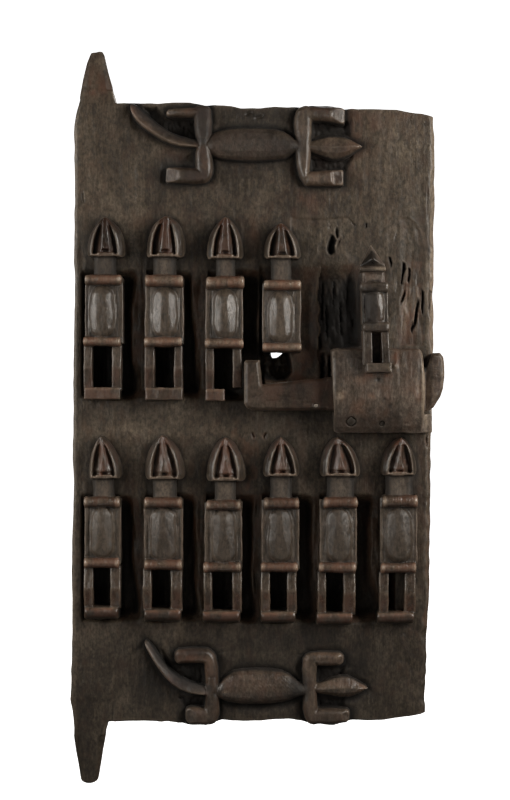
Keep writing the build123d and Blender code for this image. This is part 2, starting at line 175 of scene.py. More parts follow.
def strokes(x, z, cell, seed, spread=0.35, lean=0.0):
    """Overlapping shallow dishes, as an adze or chisel leaves: 0 at their bottoms, about 1 on the ridges."""
    rs = np.random.RandomState(seed)
    cx, cz = cell
    nx, nz = int((x.max() - x.min()) / cx) + 6, int((z.max() - z.min()) / cz) + 6
    jx, jz = rs.uniform(-0.5, 0.5, (nx, nz)), rs.uniform(-0.5, 0.5, (nx, nz))
    off = rs.uniform(0, spread, (nx, nz))
    gx, gz = (x[:, None] - x.min()) / cx + 2, (z[None, :] - z.min()) / cz + 2
    gx = gx + lean * gz
    gx, gz = np.broadcast_arrays(gx, gz)
    ix, iz = np.floor(gx).astype(int), np.floor(gz).astype(int)
    best = np.full(gx.shape, 9.0, F32)
    for dx in (-1, 0, 1):
        for dz in (-1, 0, 1):
            px, pz = ix + dx, iz + dz
            kx, kz = px % nx, pz % nz
            d = (gx - px - 0.5 - jx[kx, kz]) ** 2 + (gz - pz - 0.5 - jz[kx, kz]) ** 2 + off[kx, kz]
            best = np.minimum(best, d)
    return best


def ramp(x, a, b):
    t = np.clip((x - a) / (b - a), 0, 1)
    return t * t * (3 - 2 * t)


class Block:
    """A grid of signed distances (mm, negative in the wood). world=True: its axes are the frame's own X, Y, Z."""

    def __init__(self, lo, hi, h, world=False):
        self.h, self.lo, self.world = h, np.array(lo, float), world
        n = [int(math.ceil((hi[i] - lo[i]) / h)) + 1 for i in range(3)]
        self.x = (lo[0] + h * np.arange(n[0])).astype(F32)
        self.y = (lo[1] + h * np.arange(n[1])).astype(F32)
        self.z = (lo[2] + h * np.arange(n[2])).astype(F32)
        self.F = np.full(n, 60.0, F32)

    def _sl(self, c, a, b):
        return slice(max(int((a - c[0]) / self.h), 0), min(int((b - c[0]) / self.h) + 2, len(c)))

    def win(self, x0, x1, y0, y1, z0, z1):
        s = (self._sl(self.x, x0, x1), self._sl(self.y, y0, y1), self._sl(self.z, z0, z1))
        return s, self.x[s[0]][:, None, None], self.y[s[1]][None, :, None], self.z[s[2]][None, None, :]

    def all(self):
        return self.x[:, None, None], self.y[None, :, None], self.z[None, None, :]

    def add(self, f, k=1.0, s=Ellipsis):
        self.F[s] = smin(self.F[s], f, k)

    def cut(self, f, k=1.0, s=Ellipsis):
        self.F[s] = smax(self.F[s], -f, k)

    def rough(self, amp, cell, seed):
        self.F += amp * noise3(self.x, self.y, self.z, cell, seed)


def slope_fix(yf, h):
    """Divisor that turns a height difference into a distance."""
    g0, g1 = np.gradient(yf, h)
    return np.sqrt(1 + g0 * g0 + g1 * g1)


def sample(G, p):
    """Trilinear values of grid G at index coordinates p."""
    i = np.floor(p).astype(int)
    for k in range(3):
        i[:, k] = np.clip(i[:, k], 0, G.shape[k] - 2)
    f = (p - i).astype(F32)
    out = np.zeros(len(p), F32)
    for dx in (0, 1):
        for dy in (0, 1):
            for dz in (0, 1):
                w = (f[:, 0] if dx else 1 - f[:, 0]) * (f[:, 1] if dy else 1 - f[:, 1]) * (f[:, 2] if dz else 1 - f[:, 2])
                out += w * G[i[:, 0] + dx, i[:, 1] + dy, i[:, 2] + dz]
    return out


def box_blur(G, r):
    for ax in range(3):
        if G.shape[ax] < 2 * r + 2:
            continue
        pad = [(0, 0)] * 3
        pad[ax] = (r + 1, r)
        c = np.cumsum(np.pad(G, pad, mode="edge"), axis=ax, dtype=np.float64)
        n = G.shape[ax]
        hi = [slice(None)] * 3
        lo = [slice(None)] * 3
        hi[ax], lo[ax] = slice(2 * r + 1, 2 * r + 1 + n), slice(0, n)
        G = ((c[tuple(hi)] - c[tuple(lo)]) / (2 * r + 1)).astype(F32)
    return G


def nets(F):
    """Surface nets: vertices (index coordinates) and outward quads of the zero surface."""
    S = F < 0
    c = np.zeros([n - 1 for n in F.shape], np.int8)
    for dx in (0, 1):
        for dy in (0, 1):
            for dz in (0, 1):
                c += S[dx:dx + c.shape[0], dy:dy + c.shape[1], dz:dz + c.shape[2]]
    i, j, k = np.nonzero((c > 0) & (c < 8))
    idx = np.full(c.shape, -1, np.int32)
    idx[i, j, k] = np.arange(len(i), dtype=np.int32)
    acc, num = np.zeros((len(i), 3)), np.zeros(len(i))
    for ax in range(3):
        o1, o2 = [a for a in range(3) if a != ax]
        for p in (0, 1):
            for q in (0, 1):
                a = np.zeros(3, int)
                a[o1], a[o2] = p, q
                b = a.copy()
                b[ax] = 1
                fa, fb = F[i + a[0], j + a[1], k + a[2]], F[i + b[0], j + b[1], k + b[2]]
                m = (fa < 0) != (fb < 0)
                t = fa[m] / (fa[m] - fb[m])
                acc[m] += a
                acc[m, ax] += t
                num[m] += 1
    P = np.stack([i, j, k], 1) + acc / num[:, None]
    quads = []
    for ax in range(3):
        o1, o2 = (ax + 1) % 3, (ax + 2) % 3
        lo = [slice(None)] * 3
        hi = [slice(None)] * 3
        lo[ax], hi[ax] = slice(0, -1), slice(1, None)
        for o in (o1, o2):
            lo[o] = hi[o] = slice(1, -1)
        sa, sb = S[tuple(lo)], S[tuple(hi)]
        e = np.argwhere(sa != sb)
        inside_first = sa[e[:, 0], e[:, 1], e[:, 2]]
        base = e.copy()
        base[:, o1] += 1
        base[:, o2] += 1
        cs = []
        for d1, d2 in ((-1, -1), (0, -1), (0, 0), (-1, 0)):
            q = base.copy()
            q[:, o1] += d1
            q[:, o2] += d2
            cs.append(idx[q[:, 0], q[:, 1], q[:, 2]])
        q = np.stack(cs, 1)
        q[~inside_first] = q[~inside_first][:, ::-1]
        quads.append(q)
    return P, np.concatenate(quads)


def largest(P, Q):
    """Keeps the one largest connected shell."""
    lab = np.arange(len(P))
    e0 = np.concatenate([Q[:, 0], Q[:, 1], Q[:, 2], Q[:, 3]])
    e1 = np.concatenate([Q[:, 1], Q[:, 2], Q[:, 3], Q[:, 0]])
    while True:
        old = lab.copy()
        m = np.minimum(lab[e0], lab[e1])
        np.minimum.at(lab, e0, m)
        np.minimum.at(lab, e1, m)
        for _ in range(4):
            lab = lab[lab]
        if np.array_equal(old, lab):
            break
    roots, n = np.unique(lab, return_counts=True)
    keep = lab == roots[np.argmax(n)]
    new = np.cumsum(keep) - 1
    return P[keep], new[Q[keep[Q[:, 0]]]], keep


MADE = []


def to_mesh(name, blk, body, node, mat, paint=None):
    """Turns a block into one closed piece that rides on body and stands for a CAD node."""
    F = np.clip(blk.F, -14, 14)
    F[0], F[-1] = np.maximum(F[0], 1), np.maximum(F[-1], 1)
    F[:, 0], F[:, -1] = np.maximum(F[:, 0], 1), np.maximum(F[:, -1], 1)
    F[:, :, 0], F[:, :, -1] = np.maximum(F[:, :, 0], 1), np.maximum(F[:, :, -1], 1)
    P, Q = nets(F)
    P, Q, _ = largest(P, Q)
    h = blk.h
    r1, r2 = max(int(round(2.2 / h)), 1), max(int(round(7.0 / h)), 2)
    # wear: how convex the surface is over a small radius; cav: how hollow over a wider radius, which the material
    # darkens as dirt and painted shade
    wear = sample(box_blur(box_blur(np.clip(F, -8, 8), r1), r1), P) / (r1 * h)
    cav = sample(box_blur(F, r2), P) / (r2 * h)
    M = blk.lo + P * h
    if blk.world:
        X, Y, Z = M[:, 0], M[:, 1], M[:, 2]
        A, B = (X - XC) * CT + (Z - ZC) * ST, -(X - XC) * ST + (Z - ZC) * CT
    else:
        A, Y, B = M[:, 0], M[:, 1], M[:, 2]
        X, Z = XC + A * CT - B * ST, ZC + A * ST + B * CT
    W = np.stack([X, Y, Z], 1) / 1000.0
    me = bpy.data.meshes.new(name)
    me.vertices.add(len(W))
    me.vertices.foreach_set("co", W.astype(F32).ravel())
    me.loops.add(4 * len(Q))
    me.loops.foreach_set("vertex_index", Q.astype(np.int32).ravel())
    me.polygons.add(len(Q))
    me.polygons.foreach_set("loop_start", np.arange(0, 4 * len(Q), 4, dtype=np.int32))
    me.polygons.foreach_set("use_smooth", np.ones(len(Q), bool))
    me.update(calc_edges=True)
    # the red, dark, rubbed-spot, tone and gloss masks come from each piece's paint; dark holds painted shade, the
    # rubbed-spot mask also painted highlights
    tone = {"wear": np.clip(wear, -1, 1), "cav": np.clip(cav, -1, 1),
            "red": np.zeros(len(W)), "dark": np.zeros(len(W)), "worn": np.zeros(len(W)), "tone": np.zeros(len(W)), "gloss": np.zeros(len(W))}
    if paint:
        tone.update(paint(A, Y, B, tone))
    for key, val in tone.items():
        at = me.attributes.new(key, "FLOAT", "POINT")
        at.data.foreach_set("value", np.asarray(val, F32))
    ob = bpy.data.objects.new(name, me)
    bpy.context.scene.collection.objects.link(ob)
    me.materials.append(mat)
    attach(ob, body)
    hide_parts(node)
    MADE.append((name, len(Q)))
    return ob


# ---------------------------------------------------------------------------
# Materials
# ---------------------------------------------------------------------------
class Tree:
    def __init__(self, name):
        self.mat = bpy.data.materials.new(name)
        self.mat.use_nodes = True
        self.nt = self.mat.node_tree
        self.nt.nodes.clear()
        self.out = self.nt.nodes.new("ShaderNodeOutputMaterial")
        self.bsdf = self.nt.nodes.new("ShaderNodeBsdfPrincipled")
        self.link(self.bsdf.outputs[0], self.out.inputs[0])

    def link(self, a, b):
        self.nt.links.new(a, b)

    def node(self, kind, **kw):
        n = self.nt.nodes.new(kind)
        for k, v in kw.items():
            setattr(n, k, v)
        return n

    def put(self, sock, v):
        if isinstance(v, (int, float)):
            sock.default_value = v
        elif isinstance(v, (tuple, list)):
            sock.default_value = tuple(v) if len(v) != 3 or sock.type == "VECTOR" else (*v, 1.0)
        else:
            self.link(v, sock)

    def coords(self, scale, loc=(0, 0, 0), rot=(0, 0, 0)):
        tc = self.node("ShaderNodeTexCoord")
        mp = self.node("ShaderNodeMapping")
        mp.inputs["Location"].default_value = loc
        mp.inputs["Rotation"].default_value = rot
        mp.inputs["Scale"].default_value = scale
        self.link(tc.outputs["Object"], mp.inputs[0])
        return mp.outputs[0]

    def noise(self, vec, scale=1.0, detail=3.0, rough=0.55, dist=0.0):
        n = self.node("ShaderNodeTexNoise")
        self.link(vec, n.inputs["Vector"])
        n.inputs["Scale"].default_value = scale
        n.inputs["Detail"].default_value = detail
        n.inputs["Roughness"].default_value = rough
        n.inputs["Distortion"].default_value = dist
        return n.outputs[0]

    def voronoi(self, vec, scale=1.0, feature="F1"):
        n = self.node("ShaderNodeTexVoronoi", feature=feature)
        self.link(vec, n.inputs["Vector"])
        n.inputs["Scale"].default_value = scale
        return n.outputs["Distance"]

    def attr(self, name):
        n = self.node("ShaderNodeAttribute", attribute_name=name, attribute_type="GEOMETRY")
        return n.outputs["Fac"]

    def math(self, op, a, b=0.0, clamp=False):
        n = self.node("ShaderNodeMath", operation=op, use_clamp=clamp)
        self.put(n.inputs[0], a)
        self.put(n.inputs[1], b)
        return n.outputs[0]

    def range(self, v, a, b, c=0.0, d=1.0, smooth=True):
        n = self.node("ShaderNodeMapRange", interpolation_type="SMOOTHSTEP" if smooth else "LINEAR")
        self.put(n.inputs["Value"], v)
        for key, val in (("From Min", a), ("From Max", b), ("To Min", c), ("To Max", d)):
            n.inputs[key].default_value = val
        return n.outputs["Result"]

    def mix(self, f, a, b, blend="MIX"):
        n = self.node("ShaderNodeMix", data_type="RGBA", blend_type=blend)
        self.put(n.inputs[0], f)
        self.put(n.inputs[6], a)
        self.put(n.inputs[7], b)
        return n.outputs[2]

    def bump(self, height, strength, distance, normal=None):
        n = self.node("ShaderNodeBump")
        n.inputs["Strength"].default_value = strength
        n.inputs["Distance"].default_value = distance
        self.link(height, n.inputs["Height"])
        if normal is not None:
            self.link(normal, n.inputs["Normal"])
        return n.outputs[0]


def wood(name, grain="Z", dark=(0.024, 0.0175, 0.0115), mid=(0.052, 0.0388, 0.0254), light=(0.094, 0.0740, 0.0525),
         worn=(0.190, 0.146, 0.104), rust=(0.105, 0.043, 0.023), rough=0.47, seed=0.0, wear_gain=1.0, fleck_amp=0.34,
         spec=0.42, coat=0.05, hammer=0.0, polish=0.0, patch_amp=0.24, streak_amp=0.0):
    t = Tree(name)
    ax = {"X": 0, "Z": 2}[grain]

    def sv(across, along):
        s = [across] * 3
        s[ax] = along
        return tuple(s)

    loc = (seed, seed * 1.7, seed * 2.3)
    streak = t.noise(t.coords(sv(150, 9), loc), detail=4.0, rough=0.6, dist=0.3)
    fine = t.noise(t.coords(sv(520, 60), loc), detail=3.0, rough=0.6)
    blotch = t.noise(t.coords((20, 20, 13), loc), detail=5.0, rough=0.6, dist=0.4)
    soot = t.noise(t.coords((70, 70, 45), (seed + 3, 1, 2)), detail=5.0, rough=0.62)
    pore = t.voronoi(t.coords(sv(800, 90), loc))
    wear, cav, red, dark_a, worn_and_highlight_a, tone, gloss = (t.attr(k) for k in ("wear", "cav", "red", "dark", "worn", "tone", "gloss"))

    col = t.mix(t.range(streak, 0.30, 0.66, 0.45, 1.0), dark, mid)
    col = t.mix(t.math("MULTIPLY", t.range(fine, 0.42, 0.78), 0.34), col, light)
    col = t.mix(t.math("MULTIPLY", t.range(blotch, 0.45, 0.62), 0.50), col, light)
    col = t.mix(t.range(blotch, 0.47, 0.36, 0.0, 0.55), col, dark)
    fleck = t.noise(t.coords((330, 330, 210), loc), detail=3.0, rough=0.65)
    patchy = t.noise(t.coords((95, 95, 70), (seed + 7, 4, 5)), detail=3.0, rough=0.6, dist=0.5)
    col = t.mix(1.0, col, t.range(fleck, 0.30, 0.72, 1.0 - fleck_amp, 1.0 + fleck_amp), "MULTIPLY")
    col = t.mix(1.0, col, t.range(patchy, 0.32, 0.68, 1.0 - patch_amp, 1.0 + patch_amp), "MULTIPLY")
    if streak_amp:
        col = t.mix(1.0, col, t.range(fine, 0.30, 0.70, 1.0 - streak_amp, 1.0 + streak_amp), "MULTIPLY")
    broad = t.noise(t.coords((6.5, 6.5, 5), (seed + 1, 8, 2)), detail=2.0, rough=0.5)
    col = t.mix(1.0, col, t.range(broad, 0.36, 0.64, 0.80, 1.18), "MULTIPLY")
    warm = t.math("MULTIPLY", t.range(soot, 0.50, 0.70), 0.42)
    col = t.mix(warm, col, (mid[0] * 1.15, mid[1] * 0.82, mid[2] * 0.68))
    # rubbed edges and crests
    edge = t.range(t.math("ADD", t.math("MULTIPLY", wear, wear_gain), t.math("MULTIPLY", t.math("SUBTRACT", soot, 0.5), 0.30)), 0.10, 0.42)
    col = t.mix(t.math("MULTIPLY", edge, 0.62), col, light)
    rub = t.range(t.math("ADD", t.math("MULTIPLY", wear, wear_gain), t.math("MULTIPLY", t.math("SUBTRACT", soot, 0.5), 0.5)), 0.30, 0.62)
    col = t.mix(t.math("MULTIPLY", rub, 0.75), col, worn)
    # red-brown heartwood where the patina is gone
    rmask = t.math("MULTIPLY", red, t.range(soot, 0.36, 0.60, 0.12, 0.80), clamp=True)
    col = t.mix(rmask, col, rust)
    # the mask of rubbed spots: real wear, and also painted highlights on rims, crests, chins, bar ends and lit edges
    wmask = t.math("MULTIPLY", worn_and_highlight_a, t.math("MULTIPLY", t.range(fine, 0.25, 0.6, 0.55, 1.0), t.range(fleck, 0.34, 0.58, 0.45, 1.15)), clamp=True)
    col = t.mix(wmask, col, worn)
    # tone lightens or darkens each piece; in places it is painted light and painted shade: lit and shaded faces,
    # shadows under parts
    col = t.mix(1.0, col, t.math("ADD", tone, 1.0), "MULTIPLY")
    # darker hollows: the cav mask darkens recesses, dirt and painted shade together; the dark mask paints shade into
    # gaps, hollows, beside raised parts and under them
    hollow = t.range(cav, -0.10, -0.42)
    col = t.mix(t.math("MULTIPLY", hollow, 0.60), col, (0.0070, 0.0055, 0.0048))
    col = t.mix(t.math("MULTIPLY", dark_a, 1.0, clamp=True), col, (0.0050, 0.0042, 0.0038))
    pit = t.range(pore, 0.10, 0.26)
    col = t.mix(t.math("MULTIPLY", t.math("SUBTRACT", 1.0, pit), 0.45), col, (0.006, 0.005, 0.004))
    t.link(col, t.bsdf.inputs["Base Color"])

    ro = t.range(soot, 0.3, 0.7, rough - 0.07, rough + 0.10)
    ro = t.math("ADD", ro, t.math("MULTIPLY", hollow, 0.22))
    ro = t.math("ADD", ro, t.math("MULTIPLY", dark_a, 0.42))
    ro = t.math("SUBTRACT", ro, t.math("MULTIPLY", gloss, 0.20))
    ro = t.math("SUBTRACT", ro, t.math("MULTIPLY", rub, 0.07), clamp=True)
    t.link(ro, t.bsdf.inputs["Roughness"])
    t.bsdf.inputs["Specular IOR Level"].default_value = spec
    if polish:
        t.link(t.math("ADD", t.math("MULTIPLY", gloss, polish), coat, clamp=True), t.bsdf.inputs["Coat Weight"])
    else:
        t.bsdf.inputs["Coat Weight"].default_value = coat
    t.bsdf.inputs["Coat Roughness"].default_value = 0.28

    b1 = t.bump(streak, 0.50, 0.0006)
    b2 = t.bump(fine, 0.60, 0.00035, b1)
    b3 = t.bump(pit, 0.45, 0.0003, b2)
    mott = t.noise(t.coords((200, 200, 130), loc), detail=4.0, rough=0.6)
    b4 = t.bump(mott, 0.60, 0.0011, b3)
    b5 = t.bump(fleck, 0.50, 0.0005, b4)
    b6 = t.bump(patchy, 0.50, 0.0012 + hammer, b5)
    t.link(b6, t.bsdf.inputs["Normal"])
    return t.mat


def iron(name, bright=(0.10, 0.085, 0.070)):
    t = Tree(name)
    n1 = t.noise(t.coords((260, 260, 260)), detail=5.0, rough=0.65)
    n2 = t.noise(t.coords((900, 900, 900)), detail=3.0, rough=0.6)
    wear = t.attr("wear")
    col = t.mix(t.range(n1, 0.35, 0.65), (0.012, 0.009, 0.007), (0.038, 0.022, 0.014))
    col = t.mix(t.math("MULTIPLY", t.range(wear, 0.20, 0.55), 0.8), col, bright)
    t.link(col, t.bsdf.inputs["Base Color"])
    t.bsdf.inputs["Metallic"].default_value = 0.35
    t.link(t.range(n2, 0.3, 0.7, 0.48, 0.74), t.bsdf.inputs["Roughness"])
    t.link(t.bump(n1, 0.5, 0.0006, t.bump(n2, 0.4, 0.0002)), t.bsdf.inputs["Normal"])
    return t.mat


M_PLANK = wood("carved_wood_plank", rough=0.50, seed=0.0, fleck_amp=0.46, streak_amp=0.10)
M_CARVE = wood("carved_wood_figures", rough=0.38, seed=1.3, dark=(0.026, 0.0184, 0.0128), mid=(0.055, 0.0402, 0.0285), light=(0.102, 0.078, 0.056),
               worn=(0.215, 0.164, 0.122), rust=(0.150, 0.056, 0.028), spec=0.52, coat=0.16, fleck_amp=0.42, polish=0.30)
M_LOCK = wood("lock_wood_dark", rough=0.42, seed=4.1, mid=(0.060, 0.0462, 0.0352), light=(0.110, 0.089, 0.071), fleck_amp=0.40, coat=0.10, polish=0.45, patch_amp=0.16, streak_amp=0.16)
M_BOLT = wood("bolt_wood_dark", grain="X", rough=0.44, seed=6.4, fleck_amp=0.45, coat=0.12, mid=(0.046, 0.034, 0.0250), light=(0.080, 0.060, 0.043))
M_IRON = iron("forged_iron")
M_TACK = iron("rubbed_iron", bright=(0.36, 0.31, 0.26))

# ---------------------------------------------------------------------------
# The carvings' outlines
# ---------------------------------------------------------------------------
YL = -24.0
TAIL = [(0, -16), (.10, -20.0), (.40, -23.6), (.66, -25.6), (.80, -26.3), (.90, -24.6), (1, -16)]
ROUND = [(0, -15.5), (.06, -20.5), (.16, -23.6), (.30, -25.6), (.46, -26.3), (.62, -26.1), (.78, -24.6), (.90, -21.6), (1, -15.5)]
BODY = [(0, -15.5), (.06, -20.5), (.2, -24.8), (.38, -27.4), (.55, -28.2), (.72, -27.0), (.88, -23.4), (.96, -19.4), (1, -15.5)]
BODY2 = [(0, -15.5), (.05, -20.5), (.13, -23.8), (.27, -26.3), (.45, -27.6), (.62, -27.9), (.76, -27.0), (.87, -24.8), (.95, -21.2), (1, -15.5)]
HUB = [(0, -17), (.08, -21.5), (.20, -24.4), (.45, -25.6), (.60, -25.6), (.82, -24.4), (.93, -21.0), (1, -17)]
LIMB = [(0, -15.5), (.05, -21.0), (.12, -23.8), (.22, -25.4), (.36, -26.3), (.60, -26.3), (.76, -25.5), (.87, -23.8), (.94, -21), (1, -15.5)]
HEAD = [(0, -16), (.1, -21), (.38, -25.6), (.52, -27.2), (.74, -25.2), (.92, -20.5), (1, -16)]
CROC = {"upper": [
    ("u", [(129.8, 102, 109.5), (133, 102, 116.5), (136, 103.5, 121), (142, 109, 127), (148, 114.6, 131.5), (155, 120.4, 136.2), (162, 125.6, 140.4), (170, 130.6, 143.8),
           (180, 134.8, 146.6), (190, 137.2, 147.8), (200, 138.4, 148.6), (206, 139, 149)], TAIL, "tail"),
    ("v", [(103.4, 198, 206), (105.6, 195, 209.6), (109, 193.8, 211.6), (124, 193.8, 211.8), (135, 194.6, 211.4), (141, 196.6, 209.6), (151, 196.6, 209.0)],
     LIMB, "leg"),
    ("u", [(165, 109.6, 115.4), (168.5, 107.8, 116.4), (174, 107.0, 117.4), (190, 106.2, 118.0), (203, 106.0, 118)],
     [(0, -19), (.20, -22.8), (.45, -25.4), (.62, -25.9), (.84, -23.6), (1, -16)], "foot", lambda U, V: -25.6 + 0.28 * (175.5 - U) * CELL),
    ("v", [(139, 197, 209.4), (145, 196.4, 210.4), (150, 194.4, 211.8), (160, 194.4, 213.2), (168, 195.4, 213.8), (173, 196.6, 213.2), (177, 197.6, 211.8), (180.4, 199, 209.4), (183.4, 202, 205.6)],
     [(0, -16), (.06, -22.6), (.20, -25.8), (.34, -24.6), (.50, -25.6), (.74, -25.9), (.88, -23.6), (.95, -20.6), (1, -16)], "leg"),
    ("u", [(165.4, 166.4, 182.2), (178, 166.2, 183.4), (190, 167.0, 183.8), (200, 168.5, 183.8), (206, 171.0, 182.8), (210.4, 174.0, 180.0)],
     [(0, -16), (.10, -22.8), (.36, -25.3), (.74, -25.0), (.92, -21.5), (1, -16)], "foot", lambda U, V: -25.4 + 0.40 * (178.0 - U + 0.15 * (V - 175)) * CELL),
    ("u", [(204, 139.5, 149.5), (208, 136.6, 152.4), (212, 132.8, 155.4), (218, 129.6, 158), (226, 127.6, 159.8), (240, 126.4, 160.8), (262, 126.4, 161),
           (276, 127.4, 160.2), (284, 129.8, 158.4), (289.5, 133.4, 155.8), (294, 137.4, 152.8), (301, 138.6, 152.0)], BODY, "body"),
    ("v", [(134, 197.2, 208.6), (140, 196.6, 208.6), (147, 196.4, 208.8), (155, 196.4, 210)], HUB, "leg"),
    ("v", [(133, 296, 309), (140, 297, 308.8), (147, 297.2, 308.8), (155, 297, 309.6)], HUB, "leg"),
    ("v", [(104.6, 302, 309), (107, 298.4, 311), (111, 295.6, 311.8), (116, 294.2, 312.2), (122, 293.8, 312.4), (132, 294.8, 312), (139, 297.0, 311.4), (152, 297.6, 310.6)],
     [(0, -16), (.06, -21.4), (.22, -25.8), (.34, -25.2), (.68, -26.4), (1, -17.6)], "leg"),
    ("v", [(138, 298, 311), (145, 297.8, 311), (152, 296.4, 311.2), (162, 296.4, 310.8), (168, 297.0, 310.4), (173, 298.0, 310), (177.6, 299.8, 310), (181.4, 302.4, 309.6), (184.6, 305.8, 309)],
     [(0, -16), (.08, -22.2), (.22, -25.6), (.34, -24.4), (.66, -26.4), (1, -17.6)], "leg"),
    ("u", [(302, 107.0, 119), (306, 105.8, 121), (320, 105.4, 121.2), (335, 105.6, 122.6), (340, 106.2, 124.2), (345.4, 108, 124.8)],
     [(0, -19), (.2, -24.2), (.5, -25.8), (.82, -24.4), (1, -16)], "foot", lambda U, V: -25.9 + 0.34 * (U - 332.2 - 0.045 * (V - 113.5) ** 2) * CELL),
    ("u", [(303, 172.6, 184.2), (307, 170.4, 186), (320, 170.0, 186.2), (334, 169.0, 186.2), (344, 168.8, 185.6)],
     [(0, -16), (.12, -22.8), (.38, -25.4), (.72, -25.1), (.92, -21.5), (1, -16)], "foot",
     lambda U, V: np.minimum(-25.8 + 0.95 * (U - 331.6 - 0.12 * (V - 177)) * CELL, -23.6 + 0.12 * (U - 334) * CELL)),
    ("u", [(306, 142, 150), (312, 139.8, 152.2), (320, 137.2, 155.6), (328, 135.2, 158.4), (336, 134.6, 159.8), (344, 135.6, 158), (350, 138, 154.8),
           (356, 141, 151), (362.8, 144.6, 147.2)], HEAD, "head"),
], "lower": [
    ("u", [(144.4, 639.5, 645.5), (148, 640.5, 652.5), (152, 645.5, 660.3), (158, 654, 670), (165, 663.4, 679), (172, 671.4, 685.8), (180, 677.6, 690.8), (190, 682, 694.6),
           (200, 684.2, 696.2), (212, 685.4, 697)], TAIL, "tail"),
    ("u", [(173.4, 651.6, 662), (178, 648.8, 665.2), (190, 647.8, 664.4), (202, 647.8, 664.6), (208, 648.8, 665), (212.4, 651, 664)],
     ROUND, "foot", lambda U, V: -25.8 + 0.45 * (180 - U) * CELL),
    ("v", [(650.4, 204, 210.4), (653, 203, 214), (657, 202.8, 216.4), (668, 203.4, 218.4), (680, 204.2, 218.6), (698, 205.4, 218.8)],
     ROUND, "leg"),
    ("v", [(682, 206, 218.2), (700, 204.8, 219.4), (710, 203.6, 219.8), (716, 203.6, 219.0), (720.6, 204.4, 217.6), (724.4, 206.2, 214.6), (726, 208.6, 212.0)],
     ROUND, "leg"),
    ("u", [(185.2, 709.4, 722.4), (190, 707.6, 724.8), (198, 707.2, 726.0), (206, 708, 726.2), (211, 709.5, 725.4)],
     ROUND, "foot", lambda U, V: -25.4 + 0.42 * (193 - U) * CELL),
    ("u", [(213, 686.4, 696.6), (218, 684.0, 698.6), (222, 680.0, 700.6), (227, 675.4, 702.8), (233, 671.8, 704.4), (241, 670.0, 705.4), (256, 669.4, 705.8), (271, 669.8, 705.4),
           (282, 671.2, 703.8), (289, 674.0, 701.6), (296, 679.0, 698.8), (301, 683.0, 697), (307, 684.5, 696.4)], BODY2, "body"),
    ("v", [(680, 205.2, 218.0), (687, 205, 217.6), (694, 205, 217.8), (701, 205, 218.6)], HUB, "leg"),
    ("v", [(680, 303.0, 316.4), (687, 303.4, 316), (694, 303.4, 316), (701, 303, 317)], HUB, "leg"),
    ("v", [(652.8, 309, 317), (655, 305.4, 317.8), (658.6, 302.8, 318), (670, 301.6, 317.8), (682, 302.4, 317.2), (698, 303.2, 317.4)],
     ROUND, "leg"),
    ("u", [(308, 654, 664), (318, 652.4, 666.8), (332, 652.2, 667.6), (340, 652.6, 667), (344.8, 655, 664)],
     ROUND, "foot", lambda U, V: -25.9 + 0.5 * (U - 337.5) * CELL),
    ("v", [(682, 303.4, 316.8), (700, 302.8, 318), (710, 303, 318.8), (716, 304.2, 319), (720.6, 305.6, 318.6), (724.4, 308.4, 317.6), (726, 311, 316)],
     ROUND, "leg"),
    ("u", [(309, 709.4, 724.0), (314, 708.6, 725.4), (336, 708, 725.6), (346, 708.4, 724.4), (350.8, 710, 722)],
     ROUND, "foot", lambda U, V: -25.6 + 0.5 * (U - 343) * CELL),
    ("u", [(313, 684, 693), (320, 682.6, 694.8), (330, 679.2, 697), (340, 676.2, 699), (348, 675.8, 699), (354, 678.6, 697.2), (361, 682.8, 693.6), (367.8, 686.6, 690)],
     HEAD, "head"),
]}
